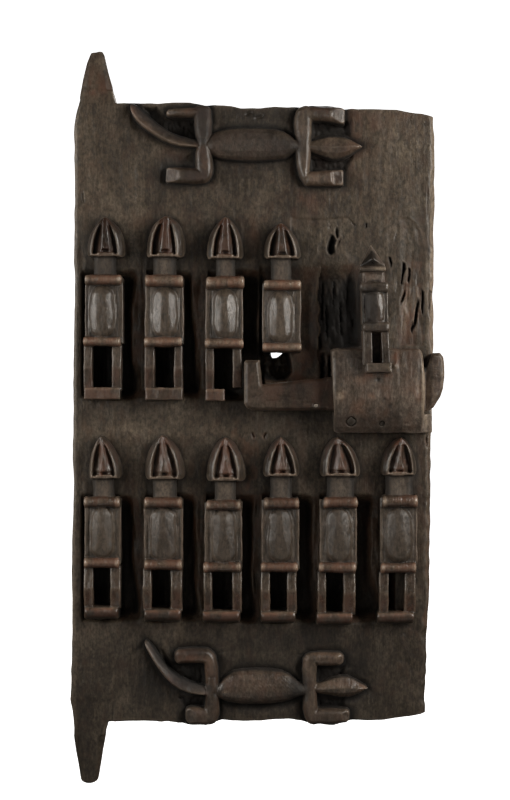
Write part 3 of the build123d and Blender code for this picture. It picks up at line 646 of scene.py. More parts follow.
# tip (u, v); head base (u0, u1, v); neck; shoulder bar; barrel; arms; hip bar; legs; foot
FIGURES = [
    ("upper_1", dict(shade=-0.34, facets=((-36, .97), (34, .965)), round=0.6, rim=(.26, .34), tip=(104.9, 216.7), base=(85.6, 125.4, 257), neck=(93.5, 114.9, 273), sh=(84.4, 121.6, 274.3, 285),
         bar=(88.8, 114.9, 288.4, 335.3), arm=(84.4, 122.6), hip=(82.8, 120.3, 336.6, 346.4),
         leg=(83.4, 92.1, 111.6, 121.4), foot=(84.1, 119.6, 387.5, 399.5))),
    ("upper_2", dict(round=1.5, facets=((-37, .90), (33, .96)), rim=(.22, .40), tip=(166.6, 216.0), base=(145.8, 185.0, 257.6), neck=(153, 175.2, 273), sh=(144.6, 183.2, 274.3, 287),
         bar=(151, 178.5, 289, 336), arm=(144.4, 183.4), hip=(144.1, 182.1, 336.6, 347.3),
         leg=(144.4, 154.4, 173.8, 182.7), foot=(145, 182.5, 387.5, 400.2))),
    ("upper_3", dict(round=0.7, facets=((-35, .95), (35, .91)), rim=(.30, .26), skew=0.6, tip=(225.6, 216.7), base=(206, 243.5, 259), neck=(216, 234.8, 274), sh=(206, 244, 275.7, 289),
         bar=(212.7, 237.5, 291, 336.6), arm=(205.4, 242.8), hip=(205.3, 243.5, 338, 348.7),
         leg=(205.3, 214, 232.8, 241.6), foot=(205.3, 224.7, 388.8, 400.9))),
    ("upper_4", dict(round=0.5, rim=(.24, .30), skew=-0.6, tip=(280.6, 223.2), base=(263.4, 301.8, 259), neck=(271.4, 291.3, 275.5), sh=(263.7, 301.2, 279.6, 290.3),
         bar=(267.6, 293.6, 293.4, 340.8), arm=(262.2, 301.2), hip=(262.2, 302, 342.4, 352.3),
         leg=None, foot=None)),
    ("lower_1", dict(round=0.1, rim=(.16, .36), skew=-0.8, tip=(100.4, 436.2), base=(87.9, 122.2, 479), neck=(92.7, 112.6, 495), sh=(83.9, 119.4, 496.2, 508),
         bar=(90.3, 113.4, 510, 554.5), arm=(83.9, 120.4), hip=(83.9, 119.2, 557.4, 568.6),
         leg=(83.9, 92.7, 110.2, 120.6), foot=(83.9, 118.4, 606.8, 620.4))),
    ("lower_2", dict(round=0.5, rim=(.30, .34), tip=(162.2, 435.4), base=(143.9, 185.2, 480), neck=(152.5, 175.6, 496), sh=(144.5, 182, 496.8, 508.8),
         bar=(149.3, 177.2, 510.4, 559), arm=(143.7, 182.4), hip=(143.7, 182, 559, 571),
         leg=(142.9, 151.4, 170.8, 182), foot=(143.7, 180.6, 609, 623))),
    ("lower_3", dict(round=0.4, rim=(.34, .36), skew=0.4, tip=(225.2, 437.6), base=(206, 245.6, 481.5), neck=(214.7, 235.4, 498), sh=(205.9, 241, 499.6, 511.2),
         bar=(210.7, 237, 512.6, 560.6), arm=(204.3, 242.2), hip=(203.5, 241, 561.8, 572.8),
         leg=(203.5, 212, 232.2, 241.8), foot=(202, 240.2, 610.8, 623.8))),
    ("lower_4", dict(round=0.0, rim=(.34, .24), skew=1.4, tip=(281, 437), base=(262.3, 300.4, 477), neck=(270.7, 291.6, 495.8), sh=(263.8, 299.4, 497.4, 509.6),
         bar=(267.8, 293.2, 512, 559), arm=(261.6, 299.4), hip=(260.4, 297.6, 562, 573),
         leg=(260.6, 270, 287, 296.8), foot=(260.4, 295.6, 611.7, 624))),
    ("lower_5", dict(round=0.6, rim=(.32, .26), skew=1.0, tip=(337.4, 437.4), base=(320, 361, 476.8), neck=(327.4, 354.2, 495), sh=(323.8, 358, 496.7, 508.8),
         bar=(325.6, 352.4, 511, 559), arm=(319.8, 357.2), hip=(318.8, 356.2, 562, 573.6),
         leg=(317.4, 326.2, 343.2, 355.6), foot=(316.4, 353, 613, 626))),
    ("lower_6", dict(round=0.4, rim=(.36, .24), skew=0.8, tip=(401.6, 437.6), base=(380.4, 417.6, 475.8), neck=(386.8, 413.4, 492.6), sh=(382.4, 418, 494.6, 508.6),
         bar=(385.6, 413.4, 511, 558.6), arm=(380.4, 418), hip=(380.6, 416.6, 562.4, 573.8),
         leg=(379.2, 388.6, 404.6, 415.8), foot=(377.8, 414.8, 612.2, 624.8))),
]
def ribbon(U, V, part):
    """Distance (mm) to a limb's outline, and its two edges, at face-grid places."""
    run, rows = part[0], part[1]
    P, Q = (U, V) if run == "u" else (V, U)
    p, l, r = (np.array([q[i] for q in rows], float) for i in range(3))
    lo, hi = np.interp(P, p, l), np.interp(P, p, r)
    gl, gr = np.interp(P + 0.6, p, l) - np.interp(P - 0.6, p, l), np.interp(P + 0.6, p, r) - np.interp(P - 0.6, p, r)
    d = np.maximum((lo - Q) / np.sqrt(1 + np.minimum(gl * gl / 1.44, 9)), (Q - hi) / np.sqrt(1 + np.minimum(gr * gr / 1.44, 9)))
    return smax(d, np.maximum(p[0] - P, P - p[-1]) + 0 * d, 3.0) * CELL, lo, hi, Q


def croc_distance(U, V):
    d = None
    for parts in CROC.values():
        for part in parts:
            e = ribbon(U, V, part)[0]
            d = e if d is None else np.minimum(d, e)
    return d


def head_arch(f):
    """Outline of a figure's head as a face-grid polygon."""
    (tu, tv), (b0, b1, bv) = f["tip"], f["base"]
    m, w = (b0 + b1) / 2, (b1 - b0) / 2
    ts = [0.0, 0.15, 0.35, 0.5, 0.65, 0.78, 0.88, 0.95, 0.99]
    rnd = f.get("round", 0.4)
    ws = [w * (1 - t ** (2.2 + 0.6 * rnd)) ** (0.75 - 0.13 * rnd) for t in ts]
    ms = [m + (tu - m) * t * t for t in ts]
    vs = [bv + (tv - bv) * t for t in ts]
    return [(c - q, v) for c, q, v in zip(ms, ws, vs)] + [(c + q, v) for c, q, v in zip(ms[::-1], ws[::-1], vs[::-1])]


# ---------------------------------------------------------------------------
# The plank
# ---------------------------------------------------------------------------
LEFT = [(84, 83.2), (95, 80.7), (104.8, 78.6), (112, 76.8), (119.3, 75.2), (124.4, 74.4), (132, 74.2), (200, 74.0), (350, 73.6), (400, 73.0), (500, 72.8), (550, 72.0),
        (650, 71.4), (690, 70.4), (700, 70.2), (706, 71.2), (716, 72.4), (724, 73.2), (735, 74.2), (742, 75.2)]
RIGHT = [(100, 435.0), (120, 434.9), (225, 434.2), (350, 433.8), (400, 433.0), (430, 432.4), (475, 431.4), (525, 430.4),
         (575, 429.2), (600, 428.6), (625, 427.6), (650, 426.8), (675, 426.4), (700, 425.6), (722, 424.8)]
TOP = [(60, 89.0), (112.4, 89.0), (115.4, 101.9), (118, 102.0), (142, 103.2), (158, 103.2), (166, 102.2), (190, 102.4), (206, 105.0), (230, 105.4), (240, 107.6),
       (262, 107.8), (274, 106.6), (302, 107.0), (310, 105.4), (334, 105.6), (342, 108.0), (380, 109.2), (398, 110.4), (412, 112.0),
       (422, 113.4), (430, 114.3), (440, 115.6)]
BOTTOM = [(60, 736.0), (103.6, 736.0), (107.6, 722.6), (118, 722.4), (150, 722.2), (166, 721.4), (182, 722.6), (190, 725.0), (206, 726.2), (214, 724.2), (222, 720.6),
          (254, 720.4), (294, 719.6), (302, 720.6), (310, 723.4), (334, 725.4), (342, 723.6), (350, 720.8), (374, 720.6), (390, 719.2),
          (406, 717.4), (416, 716.0), (426, 714.4), (440, 712.6)]

# gouges: u, v, length, half width (cells), depth mm, lean of the long axis, radians from upright
GOUGES = [
    (353.6, 223.6, 8, 0.7, 2.4, -0.6), (396.0, 236.0, 12, 0.5, 1.4, 0.3), (253.2, 435.5, 7, 0.9, 4, -0.2), (265.0, 436.0, 7, 1.2, 4, 0.3), (426.6, 440.0, 16, 0.6, 3, 0.0),
    (248.5, 113.5, 8, 1.4, 2.4, 1.2), (259.0, 117.0, 10, 1.2, 2.4, 1.1), (83.0, 676.0, 12, 0.5, 1.8, 0.1), (80.0, 664.0, 8, 0.5, 1.8, 0.0),
    (112.6, 168.0, 34, 0.35, 0.9, 0.0), (135.0, 184.0, 44, 0.35, 0.9, 0.0), (83.0, 197.0, 14, 0.6, 3.2, -0.12), (427.6, 205.0, 40, 0.45, 1.2, 0.0),
    (338.5, 243.0, 12, 0.6, 3, 0.35), (330.0, 226.0, 9, 0.4, 1.4, 0.0), (322.6, 300.0, 40, 1.0, 5.0, 0.03), (327.0, 322.0, 34, 0.8, 5.0, -0.04), (334.0, 292.0, 30, 0.7, 3.0, 0.05),
    (341.0, 318.0, 36, 0.8, 4.0, -0.03), (348.0, 296.0, 26, 0.7, 3.0, 0.02), (354.0, 322.0, 28, 0.7, 3.0, 0.06), (323.0, 367.0, 30, 1.6, 8.0, 0.04), (330.6, 368.0, 26, 1.3, 8.0, -0.02),
    (379.0, 238.0, 20, 0.35, 0.8, 0.5), (352.0, 150.0, 60, 0.35, 0.8, 0.0), (331.0, 200.0, 26, 0.35, 0.7, 0.02), (250.0, 190.0, 30, 0.35, 0.7, 0.0),
]
# torn-out slivers: outline (cells), steepness, greatest depth mm
TORN = [
    ([(336.4, 226), (339.2, 231), (338.6, 237.5), (336.6, 238.5), (335.2, 232)], 3.2, 5.0),
    ([(331.6, 234), (334.2, 236), (336.4, 240), (334.6, 245), (334.8, 252), (331.5, 255), (328.8, 254), (326.8, 249.5), (328.4, 241)], 3.4, 11.0),
    ([(388, 256.5), (391, 257.5), (392.6, 263), (391, 268), (389.4, 262)], 3.4, 8.0),
    ([(402.6, 261.5), (405.4, 263.5), (406, 269), (403.6, 276), (401.8, 287), (400.6, 283), (401.8, 272)], 3.6, 9.0),
    ([(408.2, 267), (410.8, 269), (410.8, 276), (409.4, 284), (407.6, 281), (408.6, 273)], 3.6, 9.0),
    ([(404.8, 290), (406, 294), (403.6, 301), (400.6, 306), (400.4, 302)], 3.2, 6.0),
    ([(418, 297), (419.4, 303), (417.6, 314), (416.0, 325), (413.6, 331), (413.6, 320), (415.4, 309)], 4.0, 10.0),
    ([(421.4, 288), (424, 292), (424.2, 303), (423, 316), (421.4, 308), (421.6, 298)], 4.0, 10.0),
    ([(412.6, 321), (414.5, 326), (412, 334), (410.4, 329)], 3.2, 7.0),
    ([(365, 222.4), (367.4, 222.6), (367.2, 228), (365.6, 228.4)], 2.6, 3.0),
    ([(429.6, 289), (431.4, 291), (430.2, 312), (428.6, 308)], 3.0, 4.0),
]
OVAL = [(386, 232.5), (393.4, 225), (400.6, 219), (407.8, 217), (415, 221.7), (421.3, 232.5), (424.5, 246), (425.4, 256), (424.6, 300), (424.2, 346),
        (394, 346), (391, 300), (388, 260)]


def gouge(U, V, g, seed):
    u, v, ln, w, dep, lean = g
    du, dv = U - u, V - v
    along = du * math.sin(-lean) + dv * math.cos(lean)
    across = du * math.cos(lean) + dv * math.sin(lean)
    rs = np.random.RandomState(seed)
    across = across + 0.35 * w * np.sin(along * rs.uniform(0.5, 0.9) + rs.uniform(0, 6)) + 0.3 * np.sin(along * 1.7 + rs.uniform(0, 6))
    t = np.clip(1 - (2 * along / ln) ** 2, 0, 1)
    return dep * np.exp(-(across / w) ** 2) * np.sqrt(t)


def pocket(V, v0, v1, v2, v3):
    return ramp(V, v0, v1) * (1 - ramp(V, v2, v3))


def make_panel():
    h = 1.25 * COARSE
    bk = Block((-229, -21, -470), (223, 26, 428), h)
    F3, A1, B1 = sc(-14), bk.x, bk.z
    U, V = A1 / (CELL * F3) + 255, 400 - B1 / (CELL * F3)
    U2, V2 = U[:, None], V[None, :]
    big = noise2(A1, B1, (95, 130), 11)
    mid = noise2(A1, B1, (24, 60), 12)
    grain = noise2(A1, B1, (2.6, 46), 13) + 0.6 * noise2(A1, B1, (4.5, 90), 14)
    chop = strokes(A1, B1, (17, 34), 15, lean=0.10)
    chop2 = strokes(A1, B1, (8, 20), 16, lean=-0.08)
    wob = noise2(A1, B1, (16, 40), 17)
    H = -14.0 + 0.40 * big + 0.30 * mid + 0.08 * grain + 0.62 * (chop - 0.5) + 0.34 * (chop2 - 0.5) + 0.10 * noise2(A1, B1, (5, 7), 51)

    # deep pockets between the figures
    rag = noise2(A1, B1, (5, 22), 18)
    Vw = V2 + 0.9 * wob
    up = pocket(Vw, 269, 284, 388, 401) * ramp(U2, 80.5, 85) * (1 - ramp(U2, 262, 265.5))
    low = pocket(Vw, 492, 508, 610, 624) * ramp(U2, 80.5, 85) * (1 - ramp(U2, 388, 396))
    pk = np.maximum(up, low)
    # the floor between two figures rises to the right-hand one
    floor_ = 20.0 + 0 * U2 + 0 * V2
    hewn = strokes(A1, B1, (4.2, 22), 54, spread=0.4, lean=0.10)
    for row, gaps in ((0, ((122, 144.5, 0, 17), (183, 205.4, 0, 17), (243, 262.4, .34, 9))),
                      (1, ((120, 143.4, 0, 17), (182.2, 203.8, .05, 16), (242, 260.8, .16, 14), (299.2, 318.0, .22, 13), (357, 379.2, .20, 13)))):
        on = (V2 < 430) if row == 0 else (V2 > 430)
        for g0, g1, later, most in gaps:
            t_ = (U2 - g0) / (g1 - g0)
            inside = (t_ > 0) & (t_ < 1.12) & on
            e0 = 0.36 + later + 0.26 * ramp(V2, 330 + 225 * row, 400 + 225 * row) + 0.08 * wob + 0.04 * rag
            lift_ = most * ramp(t_, e0 - 0.20, e0 + 0.22) * (1 - 0.16 * ramp(V2, 300 + 225 * row, 395 + 225 * row)) - 2.2 * (hewn - 0.5) * ramp(t_, e0 - 0.1, e0 + 0.2)
            floor_ = floor_ - np.where(inside, lift_, 0)
    H = H + pk * (floor_ + 0.8 * rag + 0.4 * grain)
    # hacked-out ground right of the fourth figure: a smooth slope, a torn edge, then splintered wood
    hack = pocket(Vw, 262, 282, 374, 386) * ramp(U2, 258, 262) * (1 - ramp(U2 + 1.5 * wob, 350, 364))
    edge_u = 319.5 + 1.4 * noise2(A1, B1, (60, 9), 19)[:1, :] * np.ones_like(U2)
    low_part = ramp(V2, 346, 352)
    slope = np.where(U2 < edge_u, 8.4 - 4.6 * ramp(U2, 300, edge_u), 12.5 - 3.5 * ramp(U2, 336, 360))
    slope = slope * (1 - low_part) + low_part * np.where(U2 < edge_u, 6.0, 9.0 - 3.5 * ramp(U2, 330, 340))
    torn = (1.9 * (strokes(A1, B1, (3.6, 10), 20, spread=0.5, lean=0.30) - 0.5) + noise2(A1, B1, (2.2, 9), 21) * 0.45) * ramp(U2, edge_u - 1, edge_u + 1.5) * ramp(V2, 268, 280)
    H = H + hack * (slope + 0.35 * rag * (U2 > edge_u)) + np.maximum(hack, 0) * torn
    # the deep strip beside the lock figure
    lean_ = 349.5 - 8.0 * ramp(V2, 262, 318)
    strip = ramp(U2 + 1.6 * wob, lean_ - 13, lean_ + 6) * (1 - ramp(U2 + 0.5 * wob, 359, 363)) * ramp(V2 + 3.0 * wob, 250, 300) * (1 - ramp(V2, 343, 347))
    H = H + strip * (4.6 + 0.9 * rag + 1.8 * (hewn - 0.5))
    chop4 = strokes(A1, B1, (3.2, 7), 52, spread=0.5, lean=0.2)
    # carved ground sunk round the legs, feet and head of the upper crocodile, and beside both tails
    for pts, dep in (([(311, 120), (346, 122), (350, 136), (334, 133), (313, 137)], 5.6), ([(311, 156), (335, 161), (352, 156), (346, 170), (311, 171)], 5.0),
                     ([(145, 108.5), (156, 107.5), (166, 117.8), (205, 119), (205, 141), (184, 139), (170, 133.5), (158, 125), (149, 118)], 6.4), ([(168, 156), (205, 153), (205, 167), (170, 167)], 1.2),
                     ([(163, 652), (172, 664), (203, 665), (203, 687), (190, 684.5), (176, 676.5), (166, 666.5)], 5.4), ([(180, 697), (205, 698), (204, 709), (184, 709)], 4.0),
                     ([(318, 668), (345, 668), (343, 677), (318, 683)], 4.4), ([(318, 697), (345, 700), (345, 708), (318, 708)], 4.4),
                     ):
        dd = poly2(U2 + 0.5 * wob, V2 + 0.5 * rag, pts)
        H = H + dep * ramp(-dd, -2.4, 2.6) * (1 + 0.42 * (chop4 - 0.5))
    dcg = croc_distance(U2 + 0 * V2, V2 + 0 * U2)
    H = H + np.where(V2 > 500, 2.6, 1.9) * np.exp(-(np.maximum(dcg, 0) / (5.6 + 0.8 * wob)) ** 2)
    # step where a worn patch of the face starts
    H = H + 1.1 * ramp(-poly2(U2, V2 + 0.5 * wob, [(291, 217.5), (349, 217.5), (356, 227), (354, 264), (289, 264)]), -0.2, 1.1) * (1 - ramp(V2, 246, 264))
    # shallow oval cut at the lock edge, with a raised outline, and torn fibres under it
    od = poly2(U2 + 0.35 * wob, V2 + 0.35 * rag, OVAL)
    chop3 = strokes(A1, B1, (7, 13), 22, spread=0.6, lean=0.35)
    hold = 1 - (1 - ramp(U2, 396, 408)) * ramp(V2, 226, 244)
    H = H + hold * (ramp(-od, -0.4, 1.4) * (0.9 + 0.9 * (chop3 - 0.4) + 0.25 * rag) - 0.45 * np.exp(-((od - 0.2) / 1.0) ** 2) * (1 - 0.8 * ramp(V2, 262, 290)))
    tear = ramp(-poly2(U2 + 0.6 * rag, V2, [(407, 292), (412, 284), (418, 287), (419.5, 300), (416, 322), (411, 326), (406, 306)]), -1.5, 1.5)
    H = H + tear * (1.0 + 1.2 * noise2(A1, B1, (2.6, 20), 23) + 0.9 * noise2(A1, B1, (6, 14), 24))
    spl = np.exp(-(((U2 - 400) / 12.0) ** 2 + ((V2 - 306) / 34.0) ** 2))
    H = H + spl * (0.6 * noise2(A1, B1, (4, 22), 25))
    fib = np.exp(-(((U2 - 410 + 0.12 * (V2 - 300)) / 11.0) ** 2 + ((V2 - 300) / 36.0) ** 2))
    H = H + fib * (2.6 * (strokes(A1, B1, (3.4, 17), 53, spread=0.55, lean=-0.42) - 0.45))
    for pts, k, dep in TORN:
        dd = poly2(U2 + 0.22 * rag, V2 + 0.3 * wob, pts)
        H = H + np.minimum(np.maximum(-dd, 0) * CELL * k, dep) - 0.35 * np.exp(-((dd - 0.7) / 0.7) ** 2)
    # pintle roots run on from the face
    H = np.where(U2 < 118, np.maximum(H, np.interp(V2, [60, 88, 95, 102, 110], [-11.9, -12.2, -13.0, -13.8, -16.0]) + 0.3 * mid), H)
    H = np.where(U2 < 114, np.maximum(H, np.interp(V2, [694, 702, 712, 724, 735, 760], [-16.0, -13.9, -13.4, -13.0, -12.0, -11.8]) + 0.3 * mid), H)
    for i, g in enumerate(GOUGES):
        H = H + gouge(U2, V2, g, 100 + i)
    # rotted hollow under the fourth figure
    rot = poly2(U2 + 1.3 * rag * 0.6, V2 + 0.8 * wob, [(261, 350), (289, 351), (291, 362), (292, 373), (284, 382), (264, 383), (259, 368)]) * CELL
    deep = ramp(-rot, -1.0, 7.0)
    H = H + deep * (20.0 + 2.4 * noise2(A1, B1, (5, 7), 26) + 1.6 * noise2(A1, B1, (2.8, 4), 27))
    # the wood stays clear of the sliding bolt
    run = ramp(U2, 232, 238) * ramp(V2, 346, 350) * (1 - ramp(V2, 415, 420))
    H = np.where(run > 0.02, np.maximum(H, -14.0 + 0.35 * run), H)
    H = np.minimum(H, 17.0)

    A, Y, B = bk.all()
    F = (H[:, None, :] - Y) / slope_fix(H, h)[:, None, :]
    # the four edges, each hewn a little uneven, worn round at the front
    Vb, Ub = V, U
    s_edge = F3
    aL = (np.interp(Vb, *zip(*LEFT)) - 255) * CELL * s_edge
    aR = (np.interp(Vb, *zip(*RIGHT)) - 255) * CELL * s_edge
    bT = (400 - np.interp(Ub, *zip(*TOP))) * CELL * s_edge
    bB = (400 - np.interp(Ub, *zip(*BOTTOM))) * CELL * s_edge
    ny = bk.y
    en = lambda seed, c: noise2(ny, B1, (14, c), seed)[None, :, :]
    et = lambda seed, c: noise2(A1, ny, (c, 12), seed)[:, :, None]
    right = A - aR[None, None, :] + 0.45 * en(31, 26) + 0.35 * en(32, 7)
    left = aL[None, None, :] - A + 0.45 * en(33, 26) + 0.25 * en(34, 8)
    top = B - bT[:, None, None] + 0.5 * et(35, 24) + 0.3 * et(36, 7)
    bot = bB[:, None, None] - B + 0.5 * et(37, 24) + 0.3 * et(38, 7)
    chip = 4.6 + 1.3 * noise2(A1[:2], B1, (50, 18), 39)[:1, None, :] + 0.8 * noise2(A1[:2], B1, (50, 5), 40)[:1, None, :]
    E = np.maximum(right, (F + right + chip) * 0.7071)
    E = smax(E, np.maximum(left, (F + left + 2.8) * 0.7071), 0.8)
    E = smax(E, top, 2.0)
    E = smax(E, bot, 2.0)
    back = Y - (21.6 - 0.5 * strokes(A1, B1, (26, 60), 41, lean=0.05)[:, None, :] - 0.25 * noise2(A1, B1, (3, 60), 42)[:, None, :])
    F = smax(F, E, 1.2)
    F = smax(F, back, 3.0)
    # nail heads are let into the back
    for node in ("case_nail_back_left", "case_nail_back_right"):
        lo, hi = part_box(node)
        X0, Z0 = (lo.x + hi.x) * 500 - XC, (lo.z + hi.z) * 500 - ZC
        ca, cb = X0 * CT + Z0 * ST, -X0 * ST + Z0 * CT
        s, a, y, b = bk.win(ca - 9, ca + 9, 15, 26, cb - 9, cb + 9)
        tn = math.radians(18) - LEAN
        xr, zr = (a - ca) * math.cos(tn) + (b - cb) * math.sin(tn), -(a - ca) * math.sin(tn) + (b - cb) * math.cos(tn)
        F[s] = smax(F[s], -np.maximum(box2(xr, zr, 5.0, 5.0, 1.0), 18.4 - y), 0.6)
    # through hole of the rot, ragged
    s, a, y, b = bk.win(ga(262), ga(292), -10, 26, gb(366), gb(340))
    hole = poly2(a + 0.0 * b, b + 0.0 * a, [(ga(u, 18), gb(v, 18)) for u, v in
                 [(268.5, 343), (284.5, 343), (285.0, 351), (281.5, 354.3), (279.0, 356.2), (276.6, 358.6), (271.6, 358.6), (270.0, 352)]])
    hole = hole + 0.0 * y + 0.45 * noise3(bk.x[s[0]], bk.y[s[1]], bk.z[s[2]], (4, 6, 4), 43) - 0.05 * np.maximum(0, 6 - y)
    F[s] = smax(F[s], -np.maximum(hole, -3 - y), 1.2)
    bk.F = F.astype(F32)
    # pintles
    rows = {
        "up": [(100, 80.0, 113.0, 11.0), (94.7, 80.8, 113.5, 12.2), (86.3, 82.6, 112.2, 12.1), (80.7, 83.6, 110.8, 11.5),
               (72.3, 85.6, 108.8, 10.6), (64, 87.5, 107.0, 9.4), (57, 90.2, 105.3, 8.2), (50, 93.0, 103.2, 6.8)],
        "down": [(724, 74.4, 106.8, 10.8), (735, 74.2, 105.6, 12.0), (750, 76.2, 102.6, 10.6),
                 (765, 78.8, 100.4, 9.2), (775, 80.4, 99.2, 8.4), (781, 81.4, 98.0, 7.6), (786, 82.4, 97.0, 7.0)]}
    for key, tab in rows.items():
        b0, b1 = gb(tab[0][0], 0), gb(tab[-1][0], 0)
        s, a, y, b = bk.win(-229, -160, -21, 26, min(b0, b1) - 3, max(b0, b1) + 6)
        tab = sorted(tab, key=lambda r: gb(r[0], 0))
        bb = [gb(r[0], 0) for r in tab]
        l, r_ = np.interp(b, bb, [ga(r[1], 0) for r in tab]), np.interp(b, bb, [ga(r[2], 0) for r in tab])
        hd = np.interp(b, bb, [r[3] for r in tab])
        hw, c = (r_ - l) / 2, (r_ + l) / 2
        rr = np.minimum(hw, hd) * 0.48
        qx, qy = np.abs(a - c) - (hw - rr), np.abs(y) - (hd - rr)
        f = hyp(np.maximum(qx, 0), np.maximum(qy, 0)) + np.minimum(np.maximum(qx, qy), 0) - rr
        f = smax(f, ((np.abs(a - c) / 1.0 + np.abs(y)) - (hw + hd) * 0.80) * 0.7071, 1.0)
        n = noise3(bk.x[s[0]], bk.y[s[1]], bk.z[s[2]], (11, 11, 26), 44) * 0.35 + noise3(bk.x[s[0]], bk.y[s[1]], bk.z[s[2]], (3.5, 3.5, 26), 45) * 0.16
        if key == "up":
            tip = (b - gb(np.interp(a, [ga(92, 0), ga(97, 0), ga(98.5, 0), ga(102, 0), ga(104, 0)], [53.0, 52.6, 51.8, 51.7, 53.2]), 0)) + 0.3 * n + 0.03 * y * y
            inner = gb(100, 0) - b
        else:
            tip = gb(782.6, 0) - b + 0.035 * (a - c) ** 2 + 0.02 * y * y
            inner = b - gb(725, 0)
        f = smax(f + n, tip, 2.2)
        f = smax(f, inner, 1.0)
        F1 = bk.F[s]
        bk.F[s] = smin(F1, f, 1.5)
    return bk, H


def panel_paint(A, Y, B, t):
    U, V = A / (CELL * sc(-14)) + 255, 400 - B / (CELL * sc(-14))

    def spot(u, v, ru, rv, k=1.0):
        return k * np.exp(-(((U - u) / ru) ** 2 + ((V - v) / rv) ** 2))

    front = (Y < 16)
    red = spot(410, 308, 8, 22, 1.25) + spot(375, 122, 34, 14, 0.30) + spot(355, 140, 14, 34, 0.38) + spot(306, 203, 18, 14, 0.50) \
        + spot(415, 116, 22, 4, 0.35) + spot(296, 366, 9, 14, 0.75) + spot(252, 232, 8, 16, 0.4) + spot(385, 378, 10, 6, 0.2) \
        + spot(90, 83, 3.5, 4, 0.7) + spot(91.5, 92.5, 4.5, 3.5, 0.7) + spot(104, 88, 8, 8, 0.5) + spot(96, 74, 9, 14, 0.45) + spot(302, 520, 6, 60, 0.3) + spot(243, 520, 6, 60, 0.35) \
        + spot(192, 520, 4, 60, 0.35) + spot(365, 520, 6, 60, 0.3) + spot(420, 520, 8, 60, 0.25) + spot(322, 163, 12, 8, 0.5) + spot(175, 158, 14, 8, 0.4) + spot(133, 320, 5, 50, 0.35) + spot(195, 320, 5, 50, 0.35) \
        + spot(252, 320, 5, 50, 0.35) + spot(130, 520, 5, 60, 0.3) + spot(160, 220, 60, 10, 0.15) + 0.06
    # edge strips lightened: on the left edge, and its spots near the top, a painted highlight of the lit chamfer; on
    # the right edge wear and painted highlight
    band = ramp(U, 424.8, 426.6) * ramp(V, 250, 262) * (1 - ramp(V, 630, 680))
    right_edge = ramp(U, 429.8, 431.2) * ramp(V, 112, 120) * (1 - ramp(V, 640, 700) * 0.6) * (Y < 2) * (1 - 0.45 * ramp(V, 430, 500))
    left_edge = (1 - ramp(U, 75.5, 77.5)) * ramp(V, 120, 130) * 0.35 * (Y < -8)
    lip = np.exp(-(np.abs(poly2(U, V, OVAL)) / 1.1) ** 2) * (V < 262)
    worn = np.clip(0.90 * right_edge + left_edge + 0.20 * band + 0.16 * lip + spot(99, 60, 4.5, 3.2, 0.75) + spot(101, 67, 3.5, 7, 0.30) + spot(93, 80, 3, 9, 0.20) + spot(78.4, 115.5, 1.6, 4, 0.4)
                   + spot(76, 124.5, 1.2, 4, 0.4) + spot(327, 362, 1.2, 4.5, 0.5) + spot(412, 300, 6, 14, 0.30) + spot(411, 325, 5, 8, 0.22) + spot(404, 306, 4, 7, 0.45) + spot(402, 325, 3, 9, 0.35) + spot(414, 303, 2.5, 10, 0.30) + spot(398, 285, 5, 12, 0.15) + spot(405, 318, 2.2, 16, 0.35) + spot(408, 300, 1.8, 8, 0.35), 0, 1)
    dc = croc_distance(U, V)
    dh = np.full(len(U), 99.0)
    for _, fd in FIGURES:
        dh = np.minimum(dh, poly2(U, V, head_arch(fd)))
        m_, n0, n1 = (fd["sh"][0] + fd["sh"][1]) / 2, fd["sh"][0], fd["sh"][1]
        dh = np.minimum(dh, np.maximum(np.abs(U - m_) - (n1 - n0) / 2 + 1.5, np.maximum(fd["base"][2] - V, V - fd["sh"][2])) + 1.2)
    # painted shade: pits between the crocodiles' legs, and a halo round the crocodiles and the heads
    inside_croc = 0
    for pts in ([(300, 118), (352, 120), (352, 136), (300, 137)], [(300, 156), (352, 156), (347, 170), (300, 171)], [(145, 108.5), (156, 107.5), (166, 117.8), (205, 119), (205, 141), (184, 139), (170, 133.5), (158, 125), (149, 118)],
                [(163, 652), (172, 664), (203, 665), (203, 687), (190, 684.5), (176, 676.5), (166, 666.5)], [(180, 697), (205, 698), (204, 709), (184, 709)],
                [(308, 668), (348, 668), (343, 677), (308, 683)], [(308, 697), (345, 700), (345, 708), (308, 708)]):
        inside_croc = np.maximum(inside_croc, ramp(-poly2(U, V, pts), -2.5, 3.0))
    wide = np.where(V > 500, 5.2, 4.2)
    halo = np.maximum(0.90 * np.exp(-(np.maximum(dc, 0) / wide) ** 2), 0.50 * np.exp(-(np.maximum(dh, 0) / 2.2) ** 2)) * (Y < -6)
    halo = np.maximum(halo, 0.84 * inside_croc)
    # painted shade: the rotted hollow, the deep strip and hacked ground left of the lock figure where its shadow falls,
    # the ground left of the case, pockets by the crocodiles' tails and feet
    dark = spot(276, 366, 13, 13, 0.9) * (Y > -12) \
        + 0.80 * ramp(U + 10 * ramp(V, 262, 318), 341, 358) * (1 - ramp(U, 360, 366)) * (0.25 + 0.75 * ramp(V, 262, 300)) * ramp(V, 246, 262) * (1 - ramp(V, 346, 352)) \
        + spot(333, 310, 12, 36, 0.30) * (Y > -12) + spot(326, 368, 6, 16, 0.5) * (Y > -12) + spot(180, 127, 20, 7, 0.35) + spot(190, 672, 9, 8, 0.3) + spot(180, 160, 14, 8, 0.35)
    # torn slivers darkened inside: painted shade in their recesses; their rims lightened
    for pts, k, dep in TORN:
        dd = poly2(U, V, pts)
        dark = np.maximum(dark, (0.85 if dep > 6 else 0.62) * ramp(-dd, -0.8, 0.6))
        worn = np.clip(worn + 0.16 * np.exp(-((dd - 1.0) / 0.7) ** 2) * (dep > 4), 0, 1)
